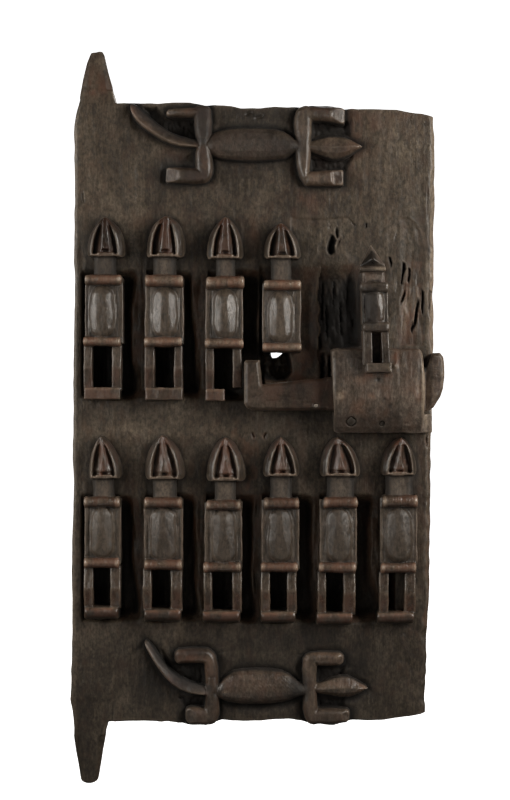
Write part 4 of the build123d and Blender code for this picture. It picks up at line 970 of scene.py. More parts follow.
    # painted shade also on the sunk floors between the figures
    dark = np.maximum(dark, halo) + (0.80 - 0.12 * (V > 480)) * ramp(Y, -7, 1) * (Y < 17) * (U > 79) * (U < 400) * (V > 262) * (V < 630)
    dark = dark * (1 - ramp(Y, 8, 14))
    gap = (U > 120) & (V > 262) & (V < 630) & (Y > -13.0) & (Y < 4)
    red = red + 0.35 * gap

    def patch(u, v, ru, rv, k):
        return k * np.exp(-np.abs((U - u) / ru) ** 2.4 - np.abs((V - v) / rv) ** 2.4)

    # Tone patches lighten and darken the face. Painted shadows: above the upper crocodile's body, under the bolt, under
    # the lock case, below the lower tail, in the band just under the lower feet. The face also darkens towards the
    # bottom. Painted light: the lighter patch at the upper right. The rest lighten or darken the wood.
    tone = patch(86, 165, 18, 62, 0.48) + patch(378, 188, 36, 38, 0.34) + patch(357, 158, 8, 18, 0.10) + patch(402, 240, 22, 20, 0.20) + patch(395, 150, 30, 40, 0.08) \
        + patch(252, 116, 44, 9, -0.62) + patch(252, 168, 44, 7, -0.25) + patch(165, 172, 22, 14, -0.30) + patch(138, 224, 8, 26, 0.35) \
        + patch(258, 224, 8, 26, 0.35) + patch(120, 432, 48, 10, 0.40) + patch(215, 430, 40, 8, 0.30) + patch(138, 470, 7, 24, 0.6) \
        + patch(258, 470, 7, 24, 0.5) + patch(188, 470, 6, 22, 0.2) + patch(320, 412, 32, 11, -0.62) + patch(240, 410, 22, 8, -0.30) + patch(335, 433, 24, 8, -0.35) \
        + patch(340, 485, 10, 14, -0.35) + patch(300, 638, 75, 11, -0.36) + patch(170, 636, 40, 9, -0.12) + patch(148, 690, 18, 20, -0.42) \
        + patch(262, 664, 42, 6, -0.35) + patch(370, 665, 26, 16, -0.22) - 0.26 * ramp(V, 630, 650) + patch(92, 650, 14, 40, -0.05) + patch(400, 680, 26, 40, 0.22) + patch(312, 310, 7, 30, 0.25) + patch(430, 310, 5, 90, 0.35) + patch(411, 309, 5, 20, 0.28) - patch(398, 322, 5, 20, 0.16)
    tone = np.where(Y > 17, 0, tone)
    worn = np.clip(worn + 0.05 * ramp(tone, 0.1, 0.5), 0, 1)
    return {"red": np.clip(red, 0, 1) * front, "worn": worn, "dark": np.clip(dark, 0, 0.96), "tone": np.clip(tone, -0.75, 0.8)}


bk, H_FACE = make_panel()
to_mesh("door_plank_board", bk, "door", "door_plank", M_PLANK, panel_paint)

# ---------------------------------------------------------------------------
# The ten ancestor figures
# ---------------------------------------------------------------------------
YP = -33.0      # depth at which the figures' places are read


def pa(u, y=YP):
    return ga(u, y)


def pb(v, y=YP):
    return gb(v, y)


def barrel(x, y, z, w, yt, half, seed, arch=(0.14, 0.1), facets=((-36, .93), (34, .95)), drop=0.0):
    """Belly of a figure: a broad egg about x = z = 0, its crest at y = yt, lightly faceted, its lower front pared away."""
    rs = np.random.RandomState(seed)
    t = z / half
    td = t + drop
    R = w * (1 - (0.17 if drop == 0 else 0.09) * td * td - 0.18 * np.clip(np.abs(t) - 0.70, 0, 1) ** 2 / 0.09) * (1 + 0.012 * np.sin(7 * t + seed))
    sy = w * 0.80
    d = (np.sqrt(x * x + ((y - yt - sy) * w / sy) ** 2) - R) * 0.9
    for ang, off in facets:
        ph = math.radians(ang)
        d = smax(d, x * math.sin(ph) - (y - yt - sy) * (w / sy) * math.cos(ph) - off * w + 0.095 * w * td * td, 0.5)
    ca, sa = math.cos(arch[0]), math.sin(arch[0])
    d = smax(d, -(y - yt - 0.35) * ca - (z - arch[1] * half) * sa, 0.6)
    return d


def make_figure(idx, name, f):
    h = 0.78 * COARSE
    rs = np.random.RandomState(500 + idx)
    (tu, tv), (b0, b1, bv) = f["tip"], f["base"]
    s0, s1, sv0, sv1 = f["sh"]
    h0, h1, hv0, hv1 = f["hip"]
    a0, a1 = f["arm"]
    last = f["foot"][3] if f["foot"] else hv1
    us = [b0, b1, s0, s1, h0, h1, a0, a1] + (list(f["leg"]) if f["leg"] else [])
    bk = Block((pa(min(us)) - 4, -41, pb(last) - 4), (pa(max(us)) + 4, 13, pb(tv) + 5), h)
    A, Y, B = bk.all()
    A2, B2 = bk.x[:, None], bk.z[None, :]

    # --- head --------------------------------------------------------------
    m, w, zb, zt = (pa(b0) + pa(b1)) / 2, (pa(b1) - pa(b0)) / 2, pb(bv), pb(tv)
    hg = zt - zb
    T = (B2 - zb) / hg
    rnd = f.get("round", 0.4)
    Tc = np.clip(T, 0, 1)
    W = w * (1 - Tc ** (2.2 + 0.6 * rnd)) ** (0.75 - 0.13 * rnd) * np.interp(T, [-.1, 0, .12, .2], [.90, .95, 1.0, 1.0]) - np.clip(T - 1, 0, 1) * 60
    mid = m + (pa(tu) - m) * Tc ** 2
    cosw = np.interp(T, [0, .15, .4, .8, 1], [1, 1, .95, .80, .7])
    side = (np.abs(A2 - mid) - W) * cosw
    o2 = smax(side, zb - B2, 6.0)
    lft = A2 < mid
    crest = np.where(lft, f.get("rim", (.32, .28))[0], f.get("rim", (.32, .28))[1]) * np.maximum(W, 0) + 1.0
    uu = -side / crest
    yfl = np.interp(uu, [0, .10, .35, .72, .93, 1.1], [-20.5, -25.0, -30.6, -35.0, -36.6, -36.7]) + np.interp(T, [0, .6, 1], [0, 0.4, 3.6])
    tb = B2 - zb
    ybt = np.interp(tb, [-1, 0, .9, 2.4], [-27, -30.5, -34.6, -36.7])
    outer = smax(yfl, ybt, 0.8)
    # the two steep-walled hollows, the broad wedge of the nose between them
    rec = smax(side + crest, 2.8 - tb, 1.5)
    rec = smax(rec, (T - f.get("brow", 0.83)) * hg, 2.2)
    up = idx < 4
    yrec = np.interp(-rec, [0, .5, 1.6, 3.2, 5], [-36.7, -35.0, -29.6, -26.6, -25.8] if up else [-36.7, -35.2, -30.6, -27.8, -27.0])
    yf = np.where(rec < 0, np.maximum(outer, yrec), outer)
    skew = f.get("skew", rs.uniform(-0.6, 0.6))
    # nose: in the upper row a long flat strip, in the lower a ridge that forks towards the mouth; a broad chin under it
    if up:
        flat = np.interp(T, [0, .09, .13, .2, .9, 1.0], [8.5, 8.0, 5.6, 4.6, 1.7, 1.2])
    else:
        flat = np.interp(T, [0, .08, .12, .17, .36, .56, 1.0], [9.0, 8.0, 5.0, 4.2, 1.7, 0.35, 0.1])
    yn0 = np.interp(T, [.0, .08, .12, .2, .5, .85, 1.0], [-35.4, -37.6, -36.4, -38.0, -37.6, -36.2, -33.6])
    xs = np.abs(A2 - mid - skew * (1 - Tc))
    yn = yn0 + np.maximum(xs - flat, 0) * np.interp(T, [.1, .2, .5, .8, 1], [1.25, 1.25, 1.35, 1.5, 1.7] if up else [1.1, .92, 1.0, 1.2, 1.5])
    yn = yn + (0.35 if up else 1.0) * np.clip(1 - xs / np.maximum(flat, 0.3), 0, 1) * (T > .12) * (flat > 0.8)
    yn = yn + np.clip((0.02 * hg - tb) / 1.0, 0, 4) * 3.0 + np.clip((T - 0.97) * 60, 0, 10)
    yf = smin(yf, yn, 0.45)
    m0, m1 = (.125, .19) if up else (.10, .16)
    mouth = ramp(T, m0 - .012, m0 + .012) * (1 - ramp(T, m1 - .012, m1 + .012)) * (1 - ramp(xs, 3.0, 4.2))
    yf = yf + mouth * 3.4
    yf = yf + 0.14 * noise2(bk.x, bk.z, (4, 9), 600 + idx)
    f3 = (yf[:, None, :] - Y) / slope_fix(yf, h)[:, None, :]
    head = smax(f3, o2[:, None, :], 1.2)
    head = np.maximum(head, Y + 7.0)
    bk.F = head.astype(F32)

    # --- neck ---------------------------------------------------------------
    n0, n1, nv = f["neck"]
    r = (pa(n1) - pa(n0)) / 2
    an, bn0, bn1 = (pa(n0) + pa(n1)) / 2, pb(sv0 + 4), pb(bv - 3)
    s, a, y, b = bk.win(an - r - 4, an + r + 4, -41, 13, bn0 - 4, bn1 + 4)
    rr = r * (1 + 0.04 * ((b - (bn0 + bn1) / 2) / (bn1 - bn0) * 2) ** 2)
    neck = box2(a - an, y + 30.0 - r, rr, rr, r * 0.42)
    neck = smax(neck, np.abs(b - (bn0 + bn1) / 2) - (bn1 - bn0) / 2, 1.0)
    bk.add(np.maximum(neck, y + 4), 1.0, s)

    # --- body slab with the arms -------------------------------------------
    la, ra = pa(a0), pa(a1)
    top, bot = pb(sv0 + 3), pb(hv1 - 3)
    back = 11.0 if f["foot"] else 5.0
    s, a, y, b = bk.win(la - 4, ra + 4, -41, 13, bot - 4, top + 4)
    slab = box2(a - (la + ra) / 2, b - (top + bot) / 2, (ra - la) / 2, (top - bot) / 2, 1.0)
    front = -27.4 - 0.5 * np.sin((b - bot) / (top - bot) * 3.1) + 0.0 * a
    body = smax(smax(slab, front - y, 1.5), y - back, 1.0)
    g0, g1, gv0, gv1 = f["bar"]
    gl, gr = pa(g0), pa(g1)
    # incised line between each arm and the belly
    for gx, sg in ((gl - 0.9, 1), (gr + 0.9, -1)):
        bend = gx - sg * 1.0 * (1 - ((b - (top + bot) / 2) / (top - bot) * 2) ** 2)
        body = smax(body, -(hyp(a - bend, y + 28.2) - 1.0), 0.8)
    bk.add(body, 1.0, s)

    # --- belly ---------------------------------------------------------------
    gm, gw, gz, gh = (gl + gr) / 2, (gr - gl) / 2, (pb(gv0) + pb(gv1)) / 2, (pb(gv0) - pb(gv1)) / 2
    s, a, y, b = bk.win(gl - 4, gr + 4, -41, -10, gz - gh - 5, gz + gh + 5)
    bel = barrel(a - gm, y, b - gz, gw * 1.02, -37.0 + 0.5 * rs.uniform(-1, 1), gh, 700 + idx, (0.07, 0.0) if up else (0.09, 0.0), f.get("facets", ((-36, .945), (34, .95)) if up else ((-38, .955), (30, .965))), drop=0.0 if up else 0.26)
    bel = smax(bel, np.abs(a - gm) - gw, 1.0)
    bk.add(np.maximum(bel, y + 16), 0.8, s)

    # --- shoulder and hip bars --------------------------------------------
    for (u0, u1, v0, v1), k in (((s0, s1, sv0, sv1), 0), ((h0, h1, hv0, hv1), 1)):
        x0, x1, z1, z0 = pa(u0), pa(u1), pb(v0), pb(v1)
        s, a, y, b = bk.win(x0 - 4, x1 + 4, -41, 0, z0 - 4, z1 + 4)
        hh = (z1 - z0) / 2
        sag = 0.5 * rs.uniform(-1, 1) * ((a - (x0 + x1) / 2) / (x1 - x0) * 2) + 0.35 * rs.uniform(-1, 1) * np.cos((a - x0) * 0.12)
        bz = b - (z0 + z1) / 2 - sag
        tt = np.abs(a - (x0 + x1) / 2) / ((x1 - x0) / 2)
        thin = hh * ((0.97 if up else 0.90) + (0.05 if up else 0.12) * ramp(tt, 0.74, 0.93)) - 0.14 * np.sin(a * 1.9 + idx) * (tt < 0.8)
        yb_ = -37.4 + hh
        prof = np.where(y < yb_, hyp((y - yb_), bz * 1.03), np.abs(bz) * 1.03 + 0 * y) - thin
        q = smax(prof, np.abs(a - (x0 + x1) / 2) - (x1 - x0) / 2, 4.6)
        bk.add(q, 0.7, s)

    # --- legs and foot -------------------------------------------------------
    if f["leg"]:
        l0, l1, l2, l3 = f["leg"]
        fu0, fu1, fv0, fv1 = f["foot"]
        zt_, zf = pb(hv1 - 2), pb(fv0 + 3)
        knee = zt_ + (zf - zt_) * (0.50 + 0.05 * rs.uniform(-1, 1))
        for (p, q_), hang in (((l0, l1), 0), ((l2, l3), 0 if fu1 > l2 else 1)):
            x0, x1 = pa(p, -30), pa(q_, -30)
            zf_ = zf if not hang else pb(fv0 - 1)
            s, a, y, b = bk.win(x0 - 4, x1 + 4, -41, 13, zf_ - 4, zt_ + 4)
            fr = np.interp(b, [zf_, knee - 1.5, knee + 1.5, zt_], [-28.2, -31.6, -31.8, -27.6])
            lx = box2(a - (x0 + x1) / 2, b - (zt_ + zf_) / 2, (x1 - x0) / 2, (zt_ - zf_) / 2, 1.0)
            leg = smax(smax(lx, (fr - y) * 0.97, 2.2), y - 11, 1.0)
            bk.add(leg, 0.8, s)
        x0, x1, z1, z0 = pa(fu0, -34), pa(fu1, -34), pb(fv0, -34), pb(fv1, -34)
        s, a, y, b = bk.win(x0 - 4, x1 + 4, -41, 13, z0 - 4, z1 + 4)
        ft = box2(a - (x0 + x1) / 2, b - (z0 + z1) / 2, (x1 - x0) / 2, (z1 - z0) / 2, 1.6 if up else 2.8)
        fr = -34.2 + 0.06 * (b - z0) * 1.0 + (0.0 if up else 0.085) * (b - (z0 + z1) / 2 - 1.5) ** 2
        bk.add(smax(smax(ft, fr - y, 2.4 if up else 4.2), y - 11, 1.0), 0.8, s)

    # --- knife marks ----------------------------------------------------------
    kn = strokes(bk.x, bk.z, (5.5, 12), 800 + idx, spread=0.5)[:, None, :]
    bk.F = bk.F + ((0.34 if up else 0.50) * (kn - 0.45)).astype(F32)
    bk.rough(0.22, (7, 7, 14), 820 + idx)
    bk.rough(0.07, (2.2, 2.2, 7), 840 + idx)

    def paint(Av, Yv, Bv, t):
        r_ = np.random.RandomState(900 + idx)
        red = np.zeros(len(Av))
        worn = np.zeros(len(Av))
        gloss = np.zeros(len(Av))
        tint = np.zeros(len(Av))
        Tn = (Bv - zb) / hg
        near = 1 - ramp(np.abs(Av - m), 5.5, 9.0)
        head_z = ramp(Tn, -.02, .03)
        nose = near * ramp(Tn, .02, .08) * (1 - ramp(Tn, .92, 1.02)) * ramp(-Yv, 29.5, 35.0)
        red += nose * (r_.uniform(0.8, 1.1) if up else r_.uniform(0.3, 0.7))
        gloss += nose * (0.45 if up else 0.0)
        red += 0.0 if up else nose * 0.55
        # nose crest, chin and rims lightened: painted highlights with wear
        worn += nose * ramp(-Yv, 36.6, 37.8) * 0.30
        chin = (1 - ramp(Tn, .08, .12)) * head_z * ramp(-Yv, 34.5, 36.5)
        red += chin * 0.5
        worn += chin * 0.70
        rim = ramp(-Yv, 33.6, 36.0) * head_z * (1 - near)
        worn += rim * 0.30
        # hollows beside the nose darkened: painted shade
        dark = head_z * ramp(Yv, -32.5, -28.0) * (np.abs(Av - m) < w * 0.74) * (0.62 if up else 0.38)
        red += head_z * ramp(Yv, -35.5, -31.0) * (np.abs(Av - m) < w * 0.74) * 0.45
        for (u0, u1, v0, v1), amt in ((f["sh"], r_.uniform(.7, 1)), (f["hip"], r_.uniform(.6, 1))):
            z1_, z0_ = pb(v0), pb(v1)
            on = ramp(Bv, z0_ - 1, z0_ + 1) * (1 - ramp(Bv, z1_ - 1, z1_ + 1)) * ramp(-Yv, 29, 33.0)
            lo_, hi_ = pa(u0), pa(u1)
            # each bar's crest and, most, its ends are lightened: painted highlights with wear; above and below the
            # crest it is darkened: painted shade
            ends = np.maximum(1 - ramp(Av, lo_ + 2.5, lo_ + 7), ramp(Av, hi_ - 7, hi_ - 2.5))
            crest_ = np.exp(-(((Bv - (z0_ + z1_) / 2 - 0.8) / (0.30 * (z1_ - z0_))) ** 2))
            red += on * (0.90 + 0.25 * ends) * (0.3 + 0.7 * amt)
            worn += on * crest_ * ((0.36 if up else 0.26) + 0.80 * ends)
            tint = tint + on * ((0.54 if up else (-0.10 if v0 == sv0 else 0.08)) + (0.25 if up else 0.60) * ends)
            gloss += on * 0.55
            dark = np.maximum(dark, on * (1 - crest_) * 0.42)
        body_ = (Bv < pb(sv1)) * (Bv > pb(hv0)) * ramp(-Yv, 24.5, 27)
        worn += body_ * 0.16 + body_ * ramp(-Yv, 31, 36) * 0.10
        belly_ = body_ * (Bv < pb(sv1) - 1) * (Bv > pb(hv0) + 1) * ramp(-Yv, 30, 33)
        if not up:
            tint = tint - belly_ * 0.20
            gloss = gloss - belly_ * 0.55
        # neck: centre lightened, sides and the top under the head darkened: painted highlight and painted shade
        neck_ = (Bv > pb(sv0)) * (Bv < zb + 1) * ramp(-Yv, 12, 20) * (np.abs(Av - (pa(f["neck"][0]) + pa(f["neck"][1])) / 2) < (pa(f["neck"][1]) - pa(f["neck"][0])) / 2 + 1.5)
        nx_ = np.abs(Av - (pa(f["neck"][0]) + pa(f["neck"][1])) / 2) / ((pa(f["neck"][1]) - pa(f["neck"][0])) / 2)
        worn += neck_ * (0.08 + 0.24 * (1 - ramp(nx_, 0.15, 0.65)))
        dark = np.maximum(dark, neck_ * np.maximum(0.66 * ramp(nx_, 0.55, 0.92), 0.45 * ramp(Bv, zb - 3.5, zb - 0.5)))
        gloss = gloss - 0.9 * neck_
        if f["foot"]:
            z1_, z0_ = pb(f["foot"][2]), pb(f["foot"][3])
            on = (1 - ramp(Bv, z1_ - 1, z1_ + 1)) * ramp(-Yv, 29, 33)
            red += on * (0.60 if up else 0.95)
            # the foot's top edge lightened: painted highlight with wear
            worn += on * (ramp(Bv, z1_ - 3, z1_ - 0.5) * (0.34 if up else 0.55) + 0.14)
            near_edge = np.min([np.abs(Av - pa(q, -30)) for q in f["leg"]], axis=0)
            legs = (Bv < pb(hv1)) * (Bv > z1_) * ramp(-Yv, 24, 29)
            red += legs * (0.12 + 0.30 * ramp(-Bv, -pb(hv1 + 16), -pb(hv1 + 24)))
            # the legs' edges and the knee line lightened: painted highlights
            worn += legs * np.exp(-((near_edge - 1.0) / 1.1) ** 2) * (0.12 if up else 0.42)
            gloss += legs * (0.0 if up else 0.7)
            worn += legs * (0.16 * (1 - ramp(-Bv, -pb(hv1 + 16), -pb(hv1 + 24))) + 0.30 * np.exp(-(((Bv - knee) / 1.8) ** 2)))
        # outer edges of the arms lightened: painted highlight lines with wear
        edge = np.maximum(1 - ramp(Av, la + 0.6, la + 2.6), ramp(Av, ra - 2.6, ra - 0.6))
        worn += body_ * edge * 0.22
        red += body_ * edge * 0.2
        # the sunk parts behind the figure's front darkened: painted shade
        dark = np.maximum(dark, ramp(Yv, -24, -14) * 0.7)
        tone = np.where(Bv < pb(hv0 + 6), -0.26 if up else -0.22, f.get("shade", -0.08))
        # the chin lighter: painted highlight
        tone = tone + tint - 0.36 * nose * up - (0.06 if up else 0.20) * head_z + 0.30 * chin
        if f["foot"]:
            # the foot's top edge lighter, and in the lower row its lower part darker: painted highlight and painted
            # shade
            top_ = pb(f["foot"][2])
            tone = tone + 0.30 * (1 - ramp(np.abs(Bv - top_ + 1.5), 1.0, 2.6)) * (Yv < -30)
            if not up:
                tone = tone - 0.30 * (1 - ramp(Bv, top_ - 7, top_ - 3))
        tone = tone + 0.0 * Av
        return {"red": np.clip(red, 0, 1), "worn": np.clip(worn, 0, 0.9), "dark": np.clip(dark, 0, 0.9), "tone": tone, "gloss": np.clip(gloss, -1, 1)}

    to_mesh("door_plank_figure_" + name, bk, "door", "door_plank", M_CARVE, paint)


for i, (nm, fd) in enumerate(FIGURES):
    make_figure(i, nm, fd)

# ---------------------------------------------------------------------------
# The two crocodiles
# ---------------------------------------------------------------------------
def make_croc(name, parts, seed, paint_spots, shades):
    """parts: (run, rows, section, kind, cut). Rows give the limb's two edges (cells) along its run;
    the section gives its depth from the first edge (0) to the second (1); cut is a slanted end."""
    h = 0.85 * COARSE
    us, vs = [], []
    for run, rows, *_ in parts:
        for r in rows:
            (us if run == "u" else vs).append(r[0])
            (vs if run == "u" else us).extend(r[1:3])
    bk = Block((ga(min(us), YL) - 5, -34, gb(max(vs), YL) - 5), (ga(max(us), YL) + 5, -5, gb(min(vs), YL) + 5), h)
    U, V = bk.x[:, None] / (CELL * sc(YL)) + 255, 400 - bk.z[None, :] / (CELL * sc(YL))
    jig = 0.28 * noise2(bk.x, bk.z, (13, 13), seed)
    D, YF, limbs = None, None, None
    for part in parts:
        if part[3] in ("leg", "foot"):
            d = ribbon(U, V, part)[0] + jig * CELL
            limbs = d if limbs is None else smin(limbs, d, 2.2)
    rise = 1 - np.clip(-limbs / 7.6, 0, 1)
    limb_y = -15.5 - 10.9 * (1 - rise ** 2.3) ** 0.62
    for part in parts:
        run, rows, prof, kind, *cut = part
        p = [r[0] for r in rows]
        d, lo, hi, Q = ribbon(U, V, part)
        d = d + jig * CELL
        sp = np.clip((Q - lo) / np.maximum(hi - lo, 0.8), 0, 1)
        yf = np.interp(sp, [q[0] for q in prof], [q[1] for q in prof])
        if kind in ("leg", "foot"):
            yf = limb_y
        if kind == "body":
            top = (-yf - 19) / 8
            cr = np.abs(((U + 0.22 * V) / 2.3) % 1 - 0.5) * 2
            cr2 = np.abs(((0.75 * V - 0.65 * U) / 2.6) % 1 - 0.5) * 2
            yf = yf + np.clip(top, 0, 1) * (0.34 * np.clip(1 - 2.2 * cr, 0, 1) + 0.26 * np.clip(1 - 2.2 * cr2, 0, 1))
        if kind in ("body", "tail", "head"):
            P_ = U if run == "u" else V
            near_ = np.minimum(np.abs(P_ - p[0]) + (40 if kind != "body" and kind != "head" else 0), np.abs(p[-1] - P_) + (40 if kind == "head" else 0))
            yf = -16 + (yf + 16) * (0.80 + 0.20 * ramp(near_, 1.5, 11.0))
        if kind == "head":
            cr = np.abs(((U + 0.10 * V) / 3.0) % 1 - 0.5) * 2
            yf = yf + 0.30 * np.clip(1 - 2.2 * cr, 0, 1) * (U > p[0] + 8) + 3.2 * ramp(U, p[-1] - 12, p[-1] + 1)
        if cut:
            yf = smax(yf, cut[0](U, V) + 0 * yf, 0.5)
        yf = np.where(d < 2.6, yf, 6.0)
        D = d if D is None else smin(D, d, 1.2)
        YF = yf if YF is None else smin(YF, yf, 0.8)
    YF = YF + 0.40 * (strokes(bk.x, bk.z, (5, 8), seed + 1, spread=0.5) - 0.45) + 0.14 * noise2(bk.x, bk.z, (4, 4), seed + 2)
    f = (YF[:, None, :] - bk.y[None, :, None]) / slope_fix(YF, h)[:, None, :]
    F = smax(f, D[:, None, :] + 0 * f, 1.4)
    F = np.maximum(F, bk.y[None, :, None] + 8.0)
    bk.F = F.astype(F32)
    bk.rough(0.12, (6, 6, 6), seed + 3)

    def paint(A, Y, B, t):
        U, V = A / (CELL * sc(YL)) + 255, 400 - B / (CELL * sc(YL))
        red, worn, gloss = np.full(len(A), 0.12), np.zeros(len(A)), np.zeros(len(A))
        # spots redden and lighten; their lighter part is wear and painted highlights at tips and ends
        for u, v, ru, rv, kr, kw in paint_spots:
            g = np.exp(-(((U - u) / ru) ** 2 + ((V - v) / rv) ** 2))
            red += kr * g
            worn += kw * g
            gloss += g * (1.0 if kw >= 0.35 else 0.0)
        up = ramp(-Y, 17, 23)
        tail = ribbon(U, V, parts[0])
        side_ = np.clip((V - tail[1]) / np.maximum(tail[2] - tail[1], 1), 0, 1)
        # the tail's far side and the low flanks darkened: painted shade
        dark = (tail[0] < 0.5) * (1 - ramp(side_, 0.30, 0.72)) * 0.55 + (1 - ramp(-Y, 17.5, 22)) * 0.75
        tone = 0.0
        for u, v, ru, rv, k in shades:
            shade_ = k * np.exp(-np.abs((U - u) / ru) ** 3 - np.abs((V - v) / rv) ** 3)
            tone = tone + shade_
            gloss = gloss + np.minimum(shade_, 0) * 1.3
        dark = np.maximum(dark, np.clip(-tone, 0, 1) * 0.45)
        return {"red": np.clip(red, 0, 1) * up, "worn": np.clip(worn, 0, 0.9) * up, "dark": np.clip(dark, 0, 0.9), "tone": np.clip(tone, -0.8, 0.8), "gloss": np.clip(gloss, -1, 1)}

    to_mesh("door_plank_crocodile_" + name, bk, "door", "door_plank", M_CARVE, paint)


make_croc("upper", CROC["upper"], 1200, [
    (203, 112, 10, 6, 0.35, 0.10), (210, 118, 2.5, 10, 0.5, 0.25), (197, 150, 4, 8, 0.25, 0.05), (178, 175.5, 1.8, 3.0, 0.3, 0.35), (338, 116, 6, 8, 0.05, 0.25),
    (333, 178, 1.8, 6, 0.05, 0.50), (310, 130, 2.0, 10, 0.0, 0.30), (308.6, 158, 2.0, 11, 0.0, 0.32), (299.4, 164, 1.3, 12, 0.0, 0.28),
    (360.8, 146, 3, 3, 0.2, 1.0), (354, 146, 7, 8, 0.25, 0.1), (332, 142, 14, 5, 0.0, 0.16), (133, 108, 4, 6, 0.7, 0.25), (325, 110, 14, 4, 0.5, 0.0), (184, 111, 9, 4, 0.35, 0.10),
    (172.5, 110.5, 3.0, 1.8, 0.1, 0.35), (207, 165, 4, 6, 0.35, 0.2), (230, 143, 24, 12, 0.12, 0.10), (331.5, 113, 1.8, 6, 0.0, 0.5), (148, 126, 12, 8, 0.2, 0.2),
    (202, 125, 6, 14, 0.1, 0.14), (302, 125, 6, 16, 0.1, 0.14), (318, 178, 12, 5, 0.1, 0.12)],
    [(250, 136, 42, 12, -0.45), (250, 154, 42, 10, -0.30), (204, 110, 10, 9, -0.35), (322, 110, 22, 8, -0.30), (335, 147, 20, 8, -0.10), (190, 176, 14, 9, -0.25), (203, 124, 12, 18, -0.45), (292, 146, 12, 9, -0.40), (303, 126, 7, 14, -0.20)])
make_croc("lower", CROC["lower"], 1300, [
    (186, 656, 12, 6, 0.55, 0.10), (180, 660, 4, 3, 0.2, 0.5), (205, 658, 7, 6, 0.35, 0.18), (206, 676, 3, 12, 0.4, 0.35), (150, 654, 3, 8, 0.4, 0.10), (164, 675, 8, 8, 0.4, 0.0),
    (364, 688, 5, 5, 0.7, 0.5), (338, 656.5, 3, 3, 0.1, 0.65), (255, 687, 24, 10, 0.12, 0.12), (345, 716, 6, 4, 0.2, 0.15), (306, 664, 4, 10, 0.15, 0.25),
    (225.5, 692, 4, 1.8, 0.1, 0.6), (198, 711, 9, 4, 0.3, 0.15), (330, 684, 16, 3, 0.2, 0.25), (211, 664, 3, 10, 0.3, 0.25), (312, 704, 5, 12, 0.1, 0.18), (325, 655, 10, 3, 0.2, 0.2), (198, 661, 11, 3.0, 0.5, 0.25), (171, 680, 12, 7, 0.6, 0.0)],
    [(165, 668, 22, 28, -0.30), (182, 686, 18, 8, -0.35), (196, 651, 14, 4, -0.4), (256, 700, 44, 8, -0.20), (298, 688, 11, 14, -0.70), (252, 680, 26, 8, 0.18), (196, 716, 14, 10, -0.2), (330, 716, 22, 10, -0.15)])

# ---------------------------------------------------------------------------
# The lock
# ---------------------------------------------------------------------------
SLIDE_GAP, YBF, YBB = 0.8, -45.0, -14.6
BX = lambda u, v: xz(u, v, YBF)
z_under = BX(330, 411.4)[1]
(xt0, zt0), (xt1, zt1) = BX(262.8, 383.7), BX(424.8, 367.0)
Y_PIN = -30.0
PIN_X = [xz(u, 370, Y_PIN)[0] for u in (353, 370, 387)]
PIN, PIN_LEN, PIN_LIFT, TRAVEL, KW = 6.0, 15.0, 5.0, 79.0, (14.0, 12.0)


def bolt_top(x):
    return zt0 + (zt1 - zt0) * (x - xt0) / (xt1 - xt0)


